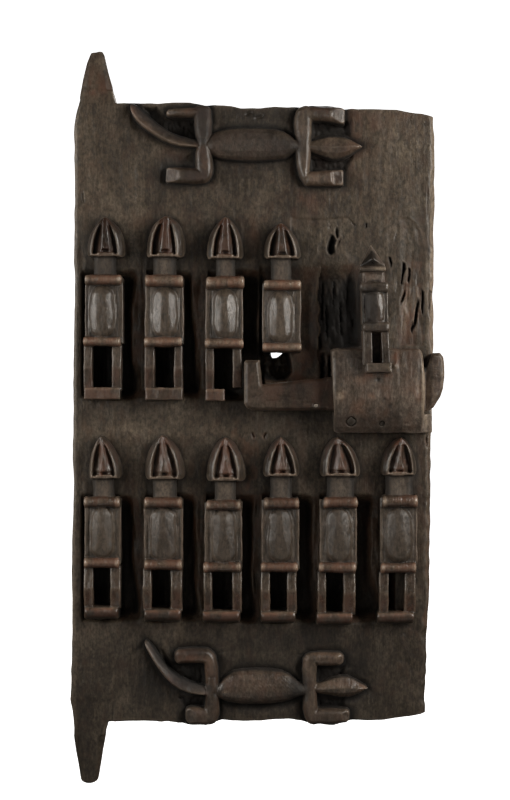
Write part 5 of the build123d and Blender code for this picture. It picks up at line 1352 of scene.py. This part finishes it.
def make_bolt():
    h = 0.85 * COARSE
    bk = Block((176, -48, 448), (423, -11, 528), h, world=True)
    X, Y, Z = bk.all()
    X2, Z2 = bk.x[:, None], bk.z[None, :]
    pts = [BX(243.6, 362), BX(245.4, 359.7), BX(259.6, 359.7), (xt0, zt0), (xt1, zt1), BX(431.0, 354.0), BX(433.5, 352.6),
           BX(440.6, 352.2), BX(444.2, 356.5), BX(445.6, 366), BX(445.4, 378), BX(444.2, 388), BX(441.2, 396.5),
           (BX(434.6, 404)[0], z_under + 5.5), (BX(428, 405)[0], z_under + 0.3), (BX(252, 405)[0], z_under + 0.3),
           (BX(246.4, 405)[0], z_under + 3.4), (BX(244.0, 405)[0], z_under + 9.0)]
    d2 = poly2(X2, Z2, pts)
    nd = np.clip(noise2(bk.x, bk.z, (26, 18), 1401), -1.5, 1.5)
    ends = np.maximum(1 - ramp(X2, 276, 283), ramp(X2, 392, 396))          # only the free ends are worn
    d2 = d2 + 0.25 + 0.25 * ends * nd
    yc, hy = (YBF + YBB) / 2, (YBB - YBF) / 2
    f = lift(d2[:, None, :] + 0 * Y, Y - yc, hy, 1.6)
    # long bevels of the horn and the head, worn corners
    front = (YBF - Y)
    bev = (front + d2[:, None, :] + 4.2) * 0.7071
    f = smax(f, np.where(ends[:, None, :] + 0 * Y > 0.5, bev, bev - 0.8), 0.5)
    dish = strokes(bk.x, bk.z, (30, 13), 1402, spread=0.4)
    f = f + 0.30 * np.clip(dish, 0, 1.2)[:, None, :] * (Y < -30)
    # the head's front is cut a little lower towards its tip
    um, ul = BX(432.4, 380)[0], BX(426.0, 380)[0]
    dip = np.where(X2 > ul, np.maximum(0, um - X2) * 0.42, np.maximum(0, (um - ul) * 0.42 - (ul - X2) * 0.9)) * ramp(X2, ul - 5, ul)
    f = smax(f, (YBF + dip[:, None, :] + np.maximum(0, X - um) * 0.10) - Y, 0.5)
    f = smax(f, (YBF + np.maximum(0, BX(248, 380)[0] - X) * 0.10) - Y, 0.8)
    # drawknife strokes
    kx, kz = BX(256, 399)
    for dx, dz, ln_, an in ((-4, 2, 6, 0.8), (-1, 3, 7, 0.75), (2, 1, 6, 0.9), (5, 4, 5, 0.7), (20, -2, 9, 0.05), (34, 3, 11, -0.04), (48, 0, 9, 0.03), (62, -4, 10, 0.0)):
        la_ = (X2 - kx - dx) * math.cos(an) + (Z2 - kz - dz) * math.sin(an)
        lb_ = -(X2 - kx - dx) * math.sin(an) + (Z2 - kz - dz) * math.cos(an)
        f = f + (0.55 * np.exp(-(lb_ / 0.8) ** 2) * np.clip(1 - (la_ / ln_) ** 2, 0, 1))[:, None, :] * (Y < -40)
    bk.F = f.astype(F32)
    key_z, x_left = z_under + 11.0, BX(243.8, 361)[0]
    key_len = PIN_X[2] - TRAVEL + 6.0
    s, x, y, z = bk.win(170, key_len + 4, -40, -20, key_z - 4, key_z + KW[1] + 4)
    bk.cut(box3(x - (x_left - 6 + key_len) / 2, y - Y_PIN, z - key_z - KW[1] / 2, (key_len - x_left + 6) / 2, KW[0] / 2, KW[1] / 2, 0.8), 0.6, s)
    for px in PIN_X:
        s, x, y, z = bk.win(px - TRAVEL - 7, px - TRAVEL + 7, -38, -22, key_z, 530)
        bk.cut(box3(x - px + TRAVEL, y - Y_PIN, z - (key_z + KW[1] - 1 + 20), 3.7, 3.7, 20, 0.5), 0.5, s)
    # seat of the tack
    tx, tz = BX(316, 405.8)
    s, x, y, z = bk.win(tx - 5, tx + 5, -48, -30, tz - 5, tz + 5)
    bk.cut(np.maximum(hyp(x - tx, z - tz) - 2.9, y + 43.6), 0.6, s)
    # clear of the channel: never proud of the nominal section inside the case
    bk.F = bk.F + (0.10 * noise3(bk.x, bk.y, bk.z, (12, 5, 5), 1403) + 0.12)

    def paint(A, Yv, B, t):
        Xv = XC + A * CT - B * ST
        Zv = ZC + A * ST + B * CT
        U, V = A / (CELL * sc(YBF)) + 255, 400 - B / (CELL * sc(YBF))
        # horn bevels and head rim lightened: painted highlights with wear
        worn = 0.30 * (1 - ramp(U, 244.5, 248)) * ramp(-Yv, 36, 42) + 0.30 * ramp(U, 439, 444) * ramp(-Yv, 28, 40) \
            + 0.30 * np.exp(-(((U - 259.5) / 2.4) ** 2 + ((V - 371) / 13.0) ** 2)) + 0.3 * np.exp(-(((U - 428.5) / 3.4) ** 2 + ((V - 361) / 6.0) ** 2))
        red = 0.30 * ramp(U, 300, 312) * (1 - ramp(U, 420, 430)) + 0.15
        shade = ramp(-poly2(U, V, [(420, 350), (432.8, 350), (426.4, 372), (420, 374)]), -0.8, 0.8) * 0.95
        # the key slot's inside darkened: painted shade
        inside = ((np.abs(Yv - Y_PIN) < 8) & (Xv < 290) & (Xv > 184) & (Zv > key_z - 1) & (Zv < key_z + 14) & (t["wear"] < 0.1)) * 0.6
        red = red + 0.25 * ramp(U, 256, 268) * (1 - ramp(U, 325, 332))
        # the bar darker beside the case: a painted shadow of the case, which moves with the bolt; the head lighter
        tone = -0.42 * np.exp(-np.abs((U - 308) / 32) ** 3) + 0.38 * ramp(U, 418, 424)
        worn = worn + 0.25 * ramp(U, 439, 443) * ramp(-Yv, 26, 38)
        return {"worn": worn, "red": red, "dark": np.maximum(inside, shade), "tone": tone}

    to_mesh("lock_bolt_carved", bk, "bolt", "lock_bolt", M_BOLT, paint)


make_bolt()

CASE_SIDE = [(-11.5, 348.4), (-49.0, 348.4), (-53.0, 350.2), (-57.4, 358.5), (-59.8, 371), (-60.5, 385), (-59.4, 398),
             (-56.8, 407.5), (-51.0, 417.5), (-44.5, 426.5), (-38.0, 432.8), (-11.5, 432.8)]


def make_case():
    h = 0.85 * COARSE
    bk = Block((279, -73.5, 422), (410, -8, 649), h, world=True)
    X, Y, Z = bk.all()
    X2, Z2 = X, Z
    A = (X - XC) * CT + (Z - ZC) * ST          # (nx, 1, nz)
    B = -(X - XC) * ST + (Z - ZC) * CT
    # side profile: v read at its own depth, taken along the middle column
    prof_pts = [(y, gb(v, y)) for y, v in CASE_SIDE]
    yy, bb = bk.y, np.linspace(B.min() - 1, gb(344, -50) + 8, 260).astype(F32)
    P2 = poly2(yy[:, None], bb[None, :], prof_pts)            # table, then looked up along b
    nb = (B[:, 0, :] - bb[0]) / (bb[1] - bb[0])
    i0 = np.clip(np.floor(nb).astype(int), 0, len(bb) - 2)
    fr = np.clip(nb - i0, 0, None).astype(F32)
    prof = (P2[:, i0] * (1 - fr) + P2[:, i0 + 1] * fr).transpose(1, 0, 2)      # nx, ny, nz
    YC = -56.0
    vB = 400 - B / (CELL * sc(YC))
    aL = np.interp(vB, [348, 372, 400, 433], [ga(332.0, YC), ga(332.6, YC), ga(333.8, YC), ga(335.4, YC)])
    aR = np.interp(vB, [348, 360, 385, 410, 433], [ga(422.0, YC), ga(423.4, YC), ga(425.0, YC), ga(425.0, YC), ga(424.4, YC)])
    nz = lambda seed, c: noise2(bk.y, bk.z, c, seed)[None, :, :]
    side = np.maximum(aL - A, A - aR) + 0.25 * nz(1501, (16, 22))
    f = smax(prof + 0.10 * noise2(bk.x, bk.z, (20, 20), 1502)[:, None, :], side, 1.2)
    # rubbed flats along the two corners
    f = smax(f, ((A - aR) * 0.80 + prof * 0.60) + 1.7, 0.6)
    f = smax(f, ((aL - A) * 0.45 + prof * 0.893) + 1.7, 0.6)
    dish = strokes(bk.x, bk.z, (17, 22), 1503, spread=0.5, lean=0.2)
    f = f + 0.42 * (dish - 0.5)[:, None, :] * (Y < -40)
    f = f + 0.16 * noise2(bk.x, bk.z, (2.4, 26), 1504)[:, None, :] * (Y < -40)
    bk.F = f.astype(F32)
    # chips and small marks on its face
    for (u, v, ru, rv, dep) in ((340.5, 395, 3.2, 3.6, 1.2), (344, 390, 2.0, 1.4, .7), (378.3, 379.7, 2.6, 2.0, 2.2), (384.4, 399.5, 1.3, 1.4, 1.2), (389.5, 406, 2.0, 2.4, 1.2),
                                (359, 408, 5, 1.2, .5), (372, 396.5, 2.4, 2.0, .6), (404, 392, 1.0, 7, .4), (412, 374, .8, 8, .4), (398, 412, .8, 6, .4), (346, 372, .8, 7, .35),
                                (419, 390, 2.2, 5, 1.0), (422, 402, 1.5, 3, .9), (408, 424, 3, 1.0, .6), (366, 380, .7, 6, .35), (391, 388, .7, 8, .35)):
        a_, b_ = ga(u, -58), gb(v, -58)
        s, x, y, z = bk.win(XC + a_ * CT - b_ * ST - ru * 1.2 - 5, XC + a_ * CT - b_ * ST + ru * 1.2 + 5, -66, -40,
                            ZC + a_ * ST + b_ * CT - rv * 1.2 - 5, ZC + a_ * ST + b_ * CT + rv * 1.2 + 5)
        aa, b2 = A[s[0], :, s[2]] - a_, B[s[0], :, s[2]] - b_
        g = np.exp(-((aa / (ru * 1.2)) ** 2 + (b2 / (rv * 1.2)) ** 2))
        bk.F[s] = bk.F[s] + dep * g
    # rail under the bolt, running on to the edge of the plank
    a0, a1, b0, b1 = ga(404, -30), ga(431.6, -30), gb(432.8, -30), gb(413.8, -30)
    s, x, y, z = bk.win(355, 410, -50, -8, 425, 470)
    aa, b2 = A[s[0], :, s[2]], B[s[0], :, s[2]]
    rail = box2(aa - (a0 + a1) / 2, b2 - (b0 + b1) / 2, (a1 - a0) / 2, (b1 - b0) / 2, 2.0)
    rail = smax(smax(rail, (-40.0 + 0.10 * (aa - a0)) - y, 1.6), y + 11.5, 0.5)
    rail = smax(rail, (-y * 0.75 - (b2 - b0) * 0.66) - 29.5, 2.0)
    bk.add(rail + 0.2 * noise3(bk.x[s[0]], bk.y[s[1]], bk.z[s[2]], (10, 8, 8), 1505), 1.0, s)

    # --- the figure carved in one with it ------------------------------------
    YF = -66.0

    def part(u0, v0, u1, v1, y0, y1, r=1.6, k=0.9, lean=0.0):
        """Window and local coordinates of a block over columns u0..u1 and rows v0..v1, from depth y0 to y1."""
        c_a, c_b = (ga(u0, YF) + ga(u1, YF)) / 2, (gb(v0, YF) + gb(v1, YF)) / 2
        ha, hb = (ga(u1, YF) - ga(u0, YF)) / 2, (gb(v0, YF) - gb(v1, YF)) / 2
        cx, cz = XC + c_a * CT - c_b * ST, ZC + c_a * ST + c_b * CT
        s, x, y, z = bk.win(cx - ha - 5, cx + ha + 5, y0 - 4, y1 + 4, cz - hb - 5, cz + hb + 5)
        aa, b2 = A[s[0], :, s[2]] - c_a, B[s[0], :, s[2]] - c_b
        aa = aa - lean * b2
        return s, aa, y, b2, ha, hb

    # the stem behind it, from the case's top to the head
    s, aa, y, b2, ha, hb = part(363.0, 262, 388.6, 372, -62, -40, lean=-0.035)
    bk.add(lift(box2(aa, b2, ha - 1.5, hb, 2.0) + 0 * y, y + 50.5, 7.5, 2.0), 1.0, s)
    # roof-shaped head: three slopes meeting at a point low on its front, over a plain band
    def at(u, v, y):
        return np.array([ga(u, y), y, gb(v, y)])

    pA, pP, pL, pR = at(370.8, 244.7, -56), at(373.0, 258.6, -71), at(360.0, 266.4, -63), at(385.6, 266.4, -64)
    s, aa, y, b2, ha, hb = part(357.6, 243.2, 387.6, 270.4, -73, -42)
    aa, b2 = A[s[0], :, s[2]], B[s[0], :, s[2]]

    def plane(p, q, r):
        n = np.cross(q - p, r - p)
        n = n / np.linalg.norm(n) * (1 if n[1] < 0 else -1)
        return (aa - p[0]) * n[0] + (y - p[1]) * n[1] + (b2 - p[2]) * n[2]

    def flank(p, q, sg):
        n = np.array([-(q[2] - p[2]), q[0] - p[0]])
        n = n / np.linalg.norm(n)
        n = n if n[0] * sg > 0 else -n
        return (aa - p[0]) * n[0] + (b2 - p[2]) * n[1]

    hd = smax(smax(plane(pA, pP, pL), plane(pA, pP, pR), 0.35), plane(pP, pL, pR), 0.5)
    hd = smax(smax(hd, smax(flank(pA, pL, -1), flank(pA, pR, 1), 0.5), 0.6), np.maximum(y + 43, pL[2] - 2.0 - b2), 0.5)
    bk.add(hd, 0.3, s)
    s, aa, y, b2, ha, hb = part(360.0, 266.6, 386.0, 271.6, -71, -42)
    bk.add(smax(smax(box2(y + 54.0, b2, 12.6, hb, hb * 0.9), np.abs(aa) - ha, 1.2), y + 43, 0.5), 0.3, s)
    # neck: an inverted wedge
    s, aa, y, b2, ha, hb = part(363.0, 270.6, 385.6, 284, -71, -42)
    nk = smax(np.abs(aa) - (ha - 2.4 + 0.20 * b2), -61.5 + 0.18 * b2 - y, 1.6)
    bk.add(smax(smax(nk, np.abs(b2) - hb, 0.8), y + 43, 0.5), 0.4, s)
    # shoulder and hip bars
    for (u0, v0, u1, v1, yt) in ((360.0, 282.2, 388.9, 292.2, -69.4), (362.8, 321.9, 389.8, 332.0, -69.8)):
        s, aa, y, b2, ha, hb = part(u0, v0, u1, v1, -73, -44)
        pr = box2(y - (yt + 8.5), b2, 8.5, hb, hb * 0.82)
        bk.add(smax(pr, np.abs(aa) - ha, 4.6), 0.6, s)
    # trunk and belly
    s, aa, y, b2, ha, hb = part(361.8, 290, 388.4, 324, -70, -44, lean=-0.02)
    tr = box2(aa, b2, ha, hb, 1.2)
    tr = smax(smax(tr + 0 * y, (-62.8 - y), 1.2), y + 44, 1.0)
    for sg in (-1, 1):
        tr = smax(tr, -(hyp(aa - sg * (ha - 4.2), y + 63.4) - 1.5), 0.6)
    bk.add(tr, 0.6, s)
    s, aa, y, b2, ha, hb = part(365.4, 291.6, 385.4, 321.8, -72, -50, lean=-0.02)
    bk.add(np.maximum(barrel(aa, y, b2, ha, -69.2, hb, 1510, facets=((33, .975),)), y + 50), 0.7, s)
    # legs, with the gap between them, and the foot block
    for u0, u1 in ((363.4, 372.4), (381.4, 389.4)):
        s, aa, y, b2, ha, hb = part(u0, 330, u1, 365, -72, -40, lean=-0.03)
        fr = np.interp(b2, [-hb, 0, hb], [-66.2, -68.4, -65.4])
        lg = smax(smax(box2(aa, b2, ha, hb, 1.0) + 0 * y, (fr - y), 1.4), y + 40, 1.0)
        bk.add(lg, 0.6, s)
    s, aa, y, b2, ha, hb = part(366.4, 362.8, 391.6, 372.6, -73, -48)
    bk.add(lift(box2(aa, b2, ha, hb, 1.4) + 0 * y, y + 59.5, 11.0, 2.0), 0.5, s)
    s, aa, y, b2, ha, hb = part(372.6, 332.2, 381.4, 362.4, -80, -47, lean=-0.03)
    bk.cut(lift(box2(aa, b2, ha, hb, 1.0) + 0 * y, y + 62, 16.0, 1.0), 0.5, s)
    # a broken stub beside the foot
    s, aa, y, b2, ha, hb = part(391.6, 362.0, 399.0, 370.4, -66, -52)
    bk.add(hyp(hyp(aa, b2), (y + 57.6) * 0.9) - 3.3, 1.6, s)

    bk.F = bk.F + 0.16 * noise3(bk.x, bk.y, bk.z, (6, 6, 10), 1511)
    # channel of the bolt, open to the back, and the tumbler chambers above it
    xa, xb = 270.0, 415.0
    ch = [(xa, z_under - SLIDE_GAP / 2), (xb, z_under - SLIDE_GAP / 2), (xb, bolt_top(xb) + SLIDE_GAP), (xa, bolt_top(xa) + SLIDE_GAP)]
    c2 = poly2(bk.x[:, None], bk.z[None, :], ch)
    cav = np.maximum(c2[:, None, :] + 0 * Y, (YBF - SLIDE_GAP) - Y) - 0.15
    bk.F = smax(bk.F, -cav, 0.6)
    for px in PIN_X:
        z0 = max(bolt_top(px - PIN / 2), bolt_top(px + PIN / 2)) + 0.3
        ztop = z0 + PIN_LEN + PIN_LIFT + 0.5
        s, x, y, z = bk.win(px - 8, px + 8, -38, -22, z0 - 8, ztop + 4)
        bk.cut(box3(x - px, y - Y_PIN, z - (z0 - 3 + ztop) / 2, PIN / 2 + 0.5, PIN / 2 + 0.5, (ztop - z0 + 3) / 2 + 0.2, 0.3), 0.3, s)
    # sockets of the two visible nails
    for node, rad, y_in in (("case_nail_lower_left", 5.9, -46.0), ("case_nail_lower_right", 3.3, -42.5)):
        lo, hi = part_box(node)
        nx_, nz_ = (lo.x + hi.x) * 500, (lo.z + hi.z) * 500
        s, x, y, z = bk.win(nx_ - 9, nx_ + 9, -62, -38, nz_ - 9, nz_ + 9)
        bk.cut(np.maximum(hyp(x - nx_, z - nz_) - rad, y - (y_in - 0.62 * (z - nz_))), 0.5, s)

    def paint(Av, Yv, Bv, t):
        U, V = Av / (CELL * sc(-60)) + 255, 400 - Bv / (CELL * sc(-60))

        def spot(u, v, ru, rv, k=1.0):
            return k * np.exp(-(((U - u) / ru) ** 2 + ((V - v) / rv) ** 2))
        fig = (V < 374) & (Yv < -62)
        red = spot(419, 392, 4, 8, .5) + spot(359.5, 380, 9, 4, .5) + spot(372, 396.5, 4, 3, .5) + spot(359.5, 408, 9, 8, .45) + spot(340.5, 395, 4, 5, .5) \
            + spot(378, 375, 14, 2.6, .8) + spot(397, 358, 4, 9, .8) + spot(376, 340, 3, 12, .3) + 0.12
        # the case's edges lightened: wear and painted highlights; spots on the figure are painted highlights on its
        # right-hand ends, roof, band, belly and foot
        worn = ramp(U, 420.8, 422.6) * ramp(V, 350, 356) * (1 - ramp(V, 410, 414)) * (Yv < -46) * (0.50 + 0.45 * ramp(V, 378, 388)) + spot(340.5, 395, 3.2, 4, .75) \
            + spot(428.5, 419, 4, 12, .95) * (Yv < -26) + spot(429.5, 412.5, 2.6, 3, .4) * (Yv < -30) + spot(380, 269, 7, 2.4, .70) * fig + spot(378, 367.5, 12, 3, .35) * fig + spot(387, 287, 2.4, 4, .4) + spot(388, 327, 2.4, 4, .35) \
            + spot(388, 367.5, 2.6, 4, .45) + spot(388, 287, 2.4, 4, .4) * fig + spot(378, 252, 5, 6, .30) * fig + spot(381, 300, 3, 8, .35) * fig + spot(376, 324.5, 12, 1.6, .3) * fig + spot(419, 392, 3, 7, .30) + spot(359.5, 380, 7, 2.6, .22) + spot(372, 396.5, 3, 2.4, .25) + spot(359.5, 408, 7, 6, .16) \
            + spot(394.5, 367.5, 2.2, 1.6, .4) + 0.30 * (1 - ramp(U, 333.5, 336)) * (V > 352) * (Yv < -40) + spot(359, 419, 1.2, 1.2, .5)
        # inside the channel, in the chips and on the downward face under the case: painted shade
        dark = (1 - np.clip(np.abs(Yv + 30) / 15.4, 0, 1)) * (V > 352) * (V < 414) * 0.5
        dark = dark + spot(378.3, 379.7, 2.8, 2.2, .8) + spot(384.4, 399.5, 1.6, 1.8, .6) + spot(389.5, 406, 2.6, 3, .55) + 0.30 * ramp(V, 414, 418) * (Yv < -38) * (U < 404)
        roof = ramp(V, 244, 248) * (1 - ramp(V, 265, 267)) * (Yv < -48)
        # roof's right face lighter and left face darker, bright band end and foot: painted light and painted shade; a
        # darker patch left of the figure's foot
        tone = np.where(fig, -0.30, 0.36) + 0.40 * roof * (ramp(U, 373.5, 376.5) - 0.5) + 0.75 * spot(379, 269, 8, 2.6) * (Yv < -60) + 0.30 * spot(379, 367.5, 14, 5) * (Yv < -64) + (0.34 * np.exp(-np.abs((U - 402) / 20) ** 3 - np.abs((V - 388) / 26) ** 3)
                                            - 0.62 * np.exp(-np.abs((U - 350) / 15) ** 3 - np.abs((V - 362) / 13) ** 3)) * (~fig)
        # left half of the figure's trunk, roof and neck darker: painted shade
        left_ = fig * (1 - ramp(U, 374.5, 379)) * ramp(V, 286, 291) * (1 - ramp(V, 324, 328))
        tone = tone - 0.42 * left_ - 0.30 * fig * roof * (1 - ramp(U, 375, 378))
        tone = tone - 0.30 * fig * ramp(V, 268.5, 270.5) * (1 - ramp(V, 280, 282)) * (1 - ramp(U, 377, 386))
        # bright strip on the case's right edge: painted highlight with wear
        worn = worn + 0.45 * ramp(U, 421.2, 422.4) * ramp(V, 358, 366) * (1 - ramp(V, 412, 416)) * (Yv < -44)
        return {"red": np.clip(red, 0, 1), "worn": np.clip(worn, 0, 0.95), "dark": np.clip(dark, 0, 1), "tone": tone, "gloss": (0.48 - 1.1 * left_) * fig}

    to_mesh("lock_case_carved", bk, "door", "lock_case", M_LOCK, paint)


make_case()


# ---------------------------------------------------------------------------
# Iron: nails, tack, tumbler pins
# ---------------------------------------------------------------------------
def make_nail(node, name, head, thick, y_head, y_point, turn, seed, front=None):
    lo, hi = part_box(node)
    cx, cz = (lo.x + hi.x) * 500, (lo.z + hi.z) * 500
    d = 1 if y_point > y_head else -1
    y0, y1 = min(y_head, y_point), max(y_head, y_point)
    h = 0.40 * COARSE
    bk = Block((cx - head / 2 * 1.5 - 1.5, y0 - 2, cz - head / 2 * 1.5 - 1.5), (cx + head / 2 * 1.5 + 1.5, y1 + 2, cz + head / 2 * 1.5 + 1.5), h, world=True)
    X, Y, Z = bk.all()
    x, z = X - cx, Z - cz
    t = (Y - y_head) * d / abs(y_point - y_head)                    # 0 at the head, 1 at the point
    w = 2.2 * (1 - 0.72 * np.clip((t - 0.55) / 0.45, 0, 1))
    shank = smax(box2(x, z, 1.0, 1.0, 0.3) - (w - 1.0), np.abs(Y - (y_head + y_point) / 2) - abs(y_point - y_head) / 2 + 0.3, 0.5)
    c, s = math.cos(turn), math.sin(turn)
    xr, zr = x * c + z * s, -x * s + z * c
    # hammered head: four slopes to a blunt top, an uneven rim
    rim = box2(xr, zr, head / 2, head / 2, head * 0.22)
    hy = (Y - y_head) * d
    if front is None:
        cap = smax(smax(rim, np.maximum(np.abs(xr), np.abs(zr)) * 0.42 - hy * 0.9 - 0.5, 0.8), hy - thick, 0.5)
        cap = smax(cap, -hy + 0.15, 0.5)
    else:
        # driven home on the sloping face: the head lies along it
        face = front - 0.62 * z + 0.06 * np.maximum(np.abs(xr), np.abs(zr))
        cap = smax(smax(rim + 0 * Y, (face - Y) * 0.85, 0.5), (Y - face - thick) * 0.85, 0.5)
        shank = smax(shank, (face + 1.0 - Y) * 0.85, 0.3)
    bk.F = smin(shank, cap, 0.5).astype(F32)
    bk.rough(0.16, (2.4, 2.4, 2.4), seed)
    to_mesh(name, bk, "door", node, M_IRON)


make_nail("case_nail_lower_left", "case_nail_lower_left_forged", 8.4, 2.6, -52.5, 12.0, math.radians(48), 1601, front=-48.6)
make_nail("case_nail_lower_right", "case_nail_lower_right_forged", 5.2, 2.4, -49.8, 12.0, math.radians(18), 1602, front=-44.8)
make_nail("case_nail_back_left", "case_nail_back_left_forged", 9.0, 3.0, 21.8, -38.0, math.radians(18), 1603)
make_nail("case_nail_back_right", "case_nail_back_right_forged", 9.0, 3.0, 21.8, -38.0, math.radians(18), 1604)


def make_tack():
    lo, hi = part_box("bolt_nail")
    cx, cz = (lo.x + hi.x) * 500, (lo.z + hi.z) * 500
    h = 0.30 * COARSE
    bk = Block((cx - 4, -47, cz - 4), (cx + 4, -30, cz + 4), h, world=True)
    X, Y, Z = bk.all()
    r = hyp(X - cx, Z - cz)
    head = smax(hyp(r, (Y + 43.2) * 1.5) - 2.5, Y + 43.3, 0.4)
    pin = smax(r - 1.2 + 0.06 * (Y + 44), np.maximum(Y + 31.2, -Y - 44.6), 0.4)
    bk.F = smin(head, pin, 0.3).astype(F32)
    bk.rough(0.12, (1.6, 1.6, 1.6), 1611)
    to_mesh("bolt_nail_forged", bk, "bolt", "bolt_nail", M_TACK)


make_tack()


def make_pin(node, body, seed):
    lo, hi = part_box(node)
    c = (lo + hi) * 500
    h = 0.34 * COARSE
    bk = Block((c.x - 4.2, c.y - 4.2, lo.z * 1000 - 1.2), (c.x + 4.2, c.y + 4.2, hi.z * 1000 + 1.2), h, world=True)
    X, Y, Z = bk.all()
    # square forged pin, its foot hammered to a blunt chisel so that it rides up on the bolt
    f = lift(box2(X - c.x, Z - c.z, PIN / 2 - 0.05, PIN_LEN / 2 - 0.05, 0.8) + 0 * Y, Y - c.y, PIN / 2 - 0.05, 0.8)
    f = smax(f, (np.abs(X - c.x) * 0.8 - (Z - lo.z * 1000) * 0.6) - 1.1, 0.4)
    bk.F = f.astype(F32)
    bk.F = bk.F + np.abs(0.14 * noise3(bk.x, bk.y, bk.z, (2.2, 2.2, 3.5), seed)).astype(F32)
    to_mesh(node + "_forged", bk, body, node, M_IRON)


make_pin("tumbler_pin_left", "tumbler_left", 1621)
make_pin("tumbler_pin_middle", "tumbler_middle", 1622)
make_pin("tumbler_pin_right", "tumbler_right", 1623)

# every CAD node carries the finish of its slot, though a carved piece stands for it
for nm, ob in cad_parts.items():
    m = {"door_plank": M_PLANK, "lock_case": M_LOCK, "lock_bolt": M_BOLT}.get(nm, M_IRON)
    ob.data.materials.clear()
    ob.data.materials.append(m)

# ---------------------------------------------------------------------------
# Studio
# ---------------------------------------------------------------------------
scene = bpy.context.scene
scene.view_settings.view_transform = "Standard"
scene.view_settings.look = "None"
scene.view_settings.exposure = 0.0
scene.view_settings.gamma = 1.0

cam_data = bpy.data.cameras.new("photo_camera")
cam_data.sensor_fit = "AUTO"
cam_data.sensor_width = 36.0
cam_data.lens = 67.5
cam_data.clip_start, cam_data.clip_end = 0.05, 60.0
cam = bpy.data.objects.new("photo_camera", cam_data)
scene.collection.objects.link(cam)
right, up_, back_ = Vector((CT, 0, ST)), Vector((-ST, 0, CT)), Vector((0, -1, 0))
rot = Matrix((right, up_, back_)).transposed().to_4x4()
cam.matrix_world = Matrix.Translation(Vector((XC / 1000, (Y_SET - SIGHT) / 1000, ZC / 1000))) @ rot
scene.camera = cam


def plain(name, colour, emission, rough=0.9):
    m = bpy.data.materials.new(name)
    m.use_nodes = True
    b = m.node_tree.nodes["Principled BSDF"]
    b.inputs["Base Color"].default_value = (*colour, 1)
    b.inputs["Roughness"].default_value = rough
    b.inputs["Specular IOR Level"].default_value = 0.1
    b.inputs["Emission Color"].default_value = (1, 1, 1, 1)
    b.inputs["Emission Strength"].default_value = emission
    return m


def disc(name, r, z, mat, n=96):
    me = bpy.data.meshes.new(name)
    vs = [(0.2, 0.0, z)] + [(0.2 + r * math.cos(2 * math.pi * i / n), r * math.sin(2 * math.pi * i / n), z) for i in range(n)]
    me.from_pydata(vs, [], [(0, i + 1, (i + 1) % n + 1) for i in range(n)])
    me.materials.append(mat)
    ob = bpy.data.objects.new(name, me)
    scene.collection.objects.link(ob)
    return ob


floor = disc("studio_floor", 14.0, -0.003, plain("pale_floor", (0.80, 0.79, 0.78), 1.2))
# a white dome stands for the seamless backdrop; only the camera sees it
dome_me = bpy.data.meshes.new("backdrop_dome")
vs, fs, nu, nv = [], [], 48, 16
for j in range(nv + 1):
    e = -0.15 + (math.pi / 2 + 0.15) * j / nv
    for i in range(nu):
        a = 2 * math.pi * i / nu
        vs.append((0.2 + 13.5 * math.cos(e) * math.cos(a), 13.5 * math.cos(e) * math.sin(a), 13.5 * math.sin(e)))
for j in range(nv):
    for i in range(nu):
        fs.append((j * nu + i, j * nu + (i + 1) % nu, (j + 1) * nu + (i + 1) % nu, (j + 1) * nu + i))
dome_me.from_pydata(vs, [], fs)
dome_me.materials.append(plain("white_backdrop", (0.9, 0.9, 0.9), 1.25))
dome = bpy.data.objects.new("backdrop_dome", dome_me)
scene.collection.objects.link(dome)
for ob in (floor, dome):
    ob.visible_diffuse = False
    ob.visible_glossy = False
    ob.visible_transmission = False
    ob.visible_shadow = False

world = bpy.data.worlds.new("studio_world")
scene.world = world
world.use_nodes = True
bg = world.node_tree.nodes["Background"]
bg.inputs[0].default_value = (1.0, 0.96, 0.90, 1)
bg.inputs[1].default_value = 0.05


def softbox(name, where, aim, size, power, colour=(1, 1, 1)):
    d = bpy.data.lights.new(name, "AREA")
    d.shape = "RECTANGLE"
    d.size, d.size_y = size
    d.energy = power
    d.color = colour
    o = bpy.data.objects.new(name, d)
    o.location = where
    o.rotation_mode = "QUATERNION"
    o.rotation_quaternion = (Vector(aim) - Vector(where)).to_track_quat("-Z", "Y")
    scene.collection.objects.link(o)
    return o


CX, CZ = 0.194, 0.465


def rake(name, side, angle, dist, z, size, power, colour=(1, 1, 1)):
    a = math.radians(angle)
    softbox(name, (CX + side * dist * math.sin(a), -0.02 - dist * math.cos(a), z), (CX, -0.02, CZ), size, power, colour)


rake("softbox_right", 1, 57, 1.20, 0.90, (0.38, 0.90), 14.0, (1.0, 0.96, 0.90))
rake("softbox_left", -1, 70, 1.20, 0.70, (0.50, 0.80), 9.0, (1.0, 0.96, 0.90))
rake("front_fill", -1, 30, 2.0, 0.60, (0.5, 0.9), 3.4, (1.0, 0.96, 0.90))
softbox("low_fill", (CX, -0.9, -0.5), (CX, 0, CZ), (0.8, 0.5), 0.7, (1.0, 0.96, 0.90))
softbox("back_fill", (CX, 2.6, 1.6), (CX, 0, CZ), (1.6, 1.6), 30.0, (1.0, 0.97, 0.93))

print("pieces", MADE, sum(n for _, n in MADE))
